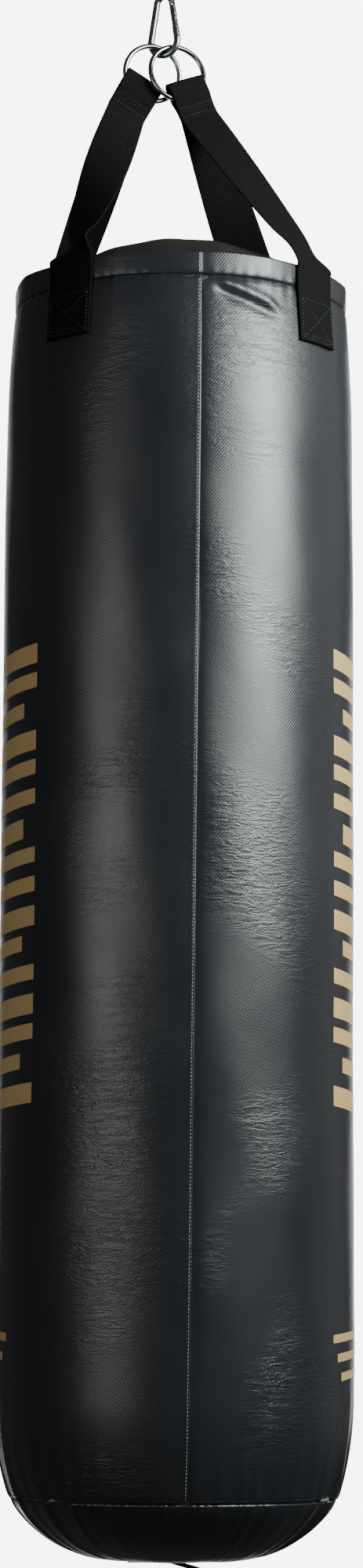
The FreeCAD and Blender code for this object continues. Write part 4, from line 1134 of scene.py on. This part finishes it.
class BAG_OT_prints(bpy.types.Operator):
    """Prints a plain column of slanted bars on each side of the wall"""
    bl_idname = "bag.prints"
    bl_label = "Printed bars"

    TOP_DROP = 0.356
    PITCH = 0.0286
    LOWER_DROP = 1.024
    # For each side: the way round, the upper bars' ends and the lower bars' start, in degrees.
    SIDES = (("left", -1, 51.5, 118.0, 66), ("right", 1, 60.5, 122.0, 60))

    def execute(self, context):
        for side, way, inner, outer, lower in self.SIDES:
            points = []
            faces = []
            uvs = []
            for i in range(16):
                start = inner if i % 4 != 2 else inner + 7
                height = 0.0150 if i % 3 else 0.0195
                drop = self.TOP_DROP + i * self.PITCH
                self.add_bar(points, faces, uvs, way, start, outer, drop, height, 0.010)
            for k in range(3):
                drop = self.LOWER_DROP + k * 0.018
                self.add_bar(points, faces, uvs, way, lower + 3 * k, 110 - 2 * k, drop, 0.008, -0.012)
            thing = mesh_object(side + "_printed_bars", points, faces, uvs)
            recalculate(thing)
            paint(thing, bpy.data.materials["Print"])
            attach(thing, "bag")
        return {"FINISHED"}

    def add_bar(self, points, faces, uvs, way, start, end, drop, tall, slant):
        """A bar round part of the wall whose ends differ in height by the slant."""
        s = bag_sizes()
        columns, rows = 40, 5
        base = len(points)
        for r in range(rows):
            for c in range(columns):
                share = c / (columns - 1)
                azimuth = way * math.radians(start + (end - start) * share)
                down = drop + slant * share + tall * r / (rows - 1)
                points.append(on_wall(azimuth, down, PRINT_LIFT))
                uvs.append((azimuth * s.wall_radius, -down))
        faces.extend(tuple(base + i for i in f) for f in grid_faces(rows, columns))


class BAG_OT_hardware(bpy.types.Operator):
    """Gives the hook, rings and inside pieces their finishes"""
    bl_idname = "bag.hardware"
    bl_label = "Hardware finishes"

    def execute(self, context):
        finishes = {
            "Zinc": ("hook_body", "hook_gate"),
            "Ring steel": ("left_ring", "right_ring"),
            "Pin steel": ("gate_rivet", "gate_latch_pin", "gate_plunger", "gate_spring"),
            "Tape": ("front_seam_tape", "back_seam_tape", "front_left_patch", "back_left_patch",
                     "front_right_patch", "back_right_patch"),
            "Felt": ("wall_padding", "bottom_pad", "top_pad"),
            "Sack": ("inner_sack",),
            "Filling": ("textile_filling",),
            "Sand": ("upper_sand_bag", "middle_sand_bag", "lower_sand_bag"),
        }
        for material, nodes in finishes.items():
            for node in nodes:
                paint(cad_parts[node], bpy.data.materials[material])
        return {"FINISHED"}


# ---------------------------------------------------------------- materials operator and stage

class BAG_OT_materials(bpy.types.Operator):
    """Makes every material"""
    bl_idname = "bag.materials"
    bl_label = "Materials"

    def execute(self, context):
        looks = bag_looks()
        skin_material("Skin", tuple(looks.skin_colour))
        skin_material("Cover", tuple(looks.cover_colour), 0.55, 0.2)
        webbing_material("Webbing", tuple(looks.webbing_colour))
        steel_material("Zinc", tuple(looks.steel_colour), 0.22)
        steel_material("Ring steel", tuple(looks.steel_colour), 0.14)
        steel_material("Pin steel", (0.5, 0.5, 0.5), 0.3)
        plain_material("Black enamel", (0.02, 0.02, 0.02), 0.35)
        plain_material("Zip plastic", (0.012, 0.012, 0.012), 0.4)
        plain_material("Tape", (0.02, 0.02, 0.02), 0.8)
        plain_material("Dark thread", (0.012, 0.012, 0.013), 0.45)
        # The front and back seams' thread is a light grey that paints on the glint of dark thread along the
        # folded edge: a painted highlight.
        plain_material("Light thread", (0.26, 0.27, 0.27), 0.6)
        plain_material("Print", tuple(looks.print_colour), 0.42, 700, 0.3)
        plain_material("Felt", (0.2, 0.2, 0.19), 0.95)
        plain_material("Sack", (0.5, 0.48, 0.43), 0.9)
        plain_material("Filling", (0.3, 0.3, 0.32), 0.95)
        plain_material("Sand", (0.5, 0.43, 0.32), 0.9)
        return {"FINISHED"}


def light_card(name, width, height, place, facing, strength, across, upwards, colour=(1, 1, 1)):
    """A glowing card whose brightness follows stops across its width and up its height."""
    out = Vector(facing).normalized()
    side = Vector((0, 0, 1)).cross(out).normalized()
    up = out.cross(side)
    corners = [Vector(place) + side * (sx * width / 2) + up * (sz * height / 2)
               for sx, sz in ((-1, -1), (1, -1), (1, 1), (-1, 1))]
    card = mesh_object(name, corners, [(0, 1, 2, 3)], [(0, 0), (1, 0), (1, 1), (0, 1)], "card")
    material = bpy.data.materials.new(name)
    material.use_nodes = True
    tree = material.node_tree
    tree.nodes.clear()
    glow = tree.nodes.new("ShaderNodeEmission")
    glow.inputs["Color"].default_value = (*colour, 1)
    output = tree.nodes.new("ShaderNodeOutputMaterial")
    tree.links.new(glow.outputs[0], output.inputs[0])
    uv = tree.nodes.new("ShaderNodeUVMap")
    uv.uv_map = "card"
    split = tree.nodes.new("ShaderNodeSeparateXYZ")
    tree.links.new(uv.outputs[0], split.inputs[0])
    sideways = ramp(tree, split.outputs[0], across)
    vertical = ramp(tree, split.outputs[1], upwards)
    shade = maths(tree, "MULTIPLY", sideways, vertical)
    tree.links.new(maths(tree, "MULTIPLY", shade, strength), glow.inputs["Strength"])
    paint(card, material)
    card.visible_camera = False
    return card


class BAG_OT_stage(bpy.types.Operator):
    """Sets the backdrop, the lights and the camera"""
    bl_idname = "bag.stage"
    bl_label = "Stage"

    def execute(self, context):
        scene = bpy.context.scene
        looks = bag_looks()
        grey = tuple(looks.backdrop_colour)
        world = bpy.data.worlds.new("Studio")
        scene.world = world
        world.use_nodes = True
        tree = world.node_tree
        room = tree.nodes["Background"]
        room.inputs["Color"].default_value = (0.5, 0.52, 0.56, 1)
        room.inputs["Strength"].default_value = 0.13
        paper = tree.nodes.new("ShaderNodeBackground")
        paper.inputs["Color"].default_value = (*grey, 1)
        paper.inputs["Strength"].default_value = 7.6
        path = tree.nodes.new("ShaderNodeLightPath")
        mix = tree.nodes.new("ShaderNodeMixShader")
        tree.links.new(path.outputs["Is Camera Ray"], mix.inputs[0])
        tree.links.new(room.outputs[0], mix.inputs[1])
        tree.links.new(paper.outputs[0], mix.inputs[2])
        tree.links.new(mix.outputs[0], tree.nodes["World Output"].inputs[0])
        light_card("backdrop", 2.2, 3.8, (0.1, 2.6, -0.4), (0, -1, 0), 2.6,
                   ((0.0, 1.0), (1.0, 1.0)), ((0.0, 1.0), (0.68, 1.0), (0.78, 0.15), (1.0, 0.15)), grey)
        # The big soft light on the right: brightest in its middle, sharp at its back edge, dim at its foot.
        light_card("right_softbox", 2.6, 2.4, (1.634, -1.177, -0.30), (-1, 0.42, 0), 34.0,
                   ((0.0, 0.0), (0.14, 0.0), (0.17, 0.18), (0.22, 0.26), (0.28, 0.45), (0.38, 0.85),
                    (0.5, 1.0), (0.6, 0.80), (0.73, 0.42), (0.9, 0.22), (1.0, 0.1)),
                   ((0.0, 0.002), (0.14, 0.008), (0.24, 0.022), (0.33, 0.07), (0.43, 0.36), (0.52, 0.8),
                    (0.66, 1.0), (1.0, 0.9)), (0.93, 1.0, 0.99))
        light_card("right_wall", 1.6, 3.0, (1.9, 0.75, -0.30), (-1, -0.45, 0), 0.6,
                   ((0.0, 1.0), (1.0, 1.0)), ((0.0, 0.4), (0.3, 0.6), (0.6, 1.0)))
        light_card("left_card", 1.5, 2.6, (-1.45, -1.70, -0.75), (1, 1.15, 0), 4.8,
                   ((0.0, 0.05), (0.2, 0.5), (0.45, 1.0), (0.7, 0.85), (0.9, 0.45), (1.0, 0.15)),
                   ((0.0, 0.04), (0.22, 0.18), (0.42, 0.75), (0.54, 1.0), (0.66, 0.38), (0.8, 0.09),
                    (1.0, 0.04)))
        self.place_camera(scene)
        return {"FINISHED"}

    def place_camera(self, scene):
        data = bpy.data.cameras.new("Camera")
        camera = bpy.data.objects.new("Camera", data)
        scene.collection.objects.link(camera)
        scene.camera = camera
        data.sensor_fit = "AUTO"
        data.sensor_width = 36
        data.lens = 88.87
        data.clip_end = 50
        camera.rotation_mode = "XYZ"
        tilt = Matrix.Rotation(math.radians(98), 4, "X")
        roll = Matrix.Rotation(math.radians(0.36), 4, "Z")
        camera.matrix_world = Matrix.Translation((0.0226, -3.8355, -1.3547)) @ tilt @ roll
        data.dof.use_dof = False


class BAG_PT_panel(bpy.types.Panel):
    """Lists the bag's sizes, looks and operators"""
    bl_idname = "BAG_PT_panel"
    bl_label = "Punching bag"
    bl_space_type = "VIEW_3D"
    bl_region_type = "UI"
    bl_category = "Punching bag"

    def draw(self, context):
        for group in (context.scene.bag_sizes, context.scene.bag_looks):
            for name in group.__annotations__:
                self.layout.prop(group, name)
        for operator in OPERATORS:
            self.layout.operator(operator.bl_idname)


OPERATORS = (BAG_OT_materials, BAG_OT_wall, BAG_OT_hem, BAG_OT_bottom, BAG_OT_top_cover, BAG_OT_zip,
             BAG_OT_slings, BAG_OT_stitches, BAG_OT_bottom_loop, BAG_OT_prints, BAG_OT_hardware,
             BAG_OT_stage)
CLASSES = (BagSizes, BagLooks) + OPERATORS + (BAG_PT_panel,)


def register():
    for cls in CLASSES:
        bpy.utils.register_class(cls)
    bpy.types.Scene.bag_sizes = bpy.props.PointerProperty(type=BagSizes)
    bpy.types.Scene.bag_looks = bpy.props.PointerProperty(type=BagLooks)


def unregister():
    del bpy.types.Scene.bag_looks
    del bpy.types.Scene.bag_sizes
    for cls in reversed(CLASSES):
        bpy.utils.unregister_class(cls)


def main():
    register()
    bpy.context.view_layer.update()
    bpy.ops.bag.materials()
    bpy.ops.bag.wall()
    bpy.ops.bag.hem()
    bpy.ops.bag.bottom()
    bpy.ops.bag.top_cover()
    bpy.ops.bag.zip()
    bpy.ops.bag.slings()
    bpy.ops.bag.stitches()
    bpy.ops.bag.bottom_loop()
    bpy.ops.bag.prints()
    bpy.ops.bag.hardware()
    bpy.ops.bag.stage()


if __name__ == "__main__":
    main()
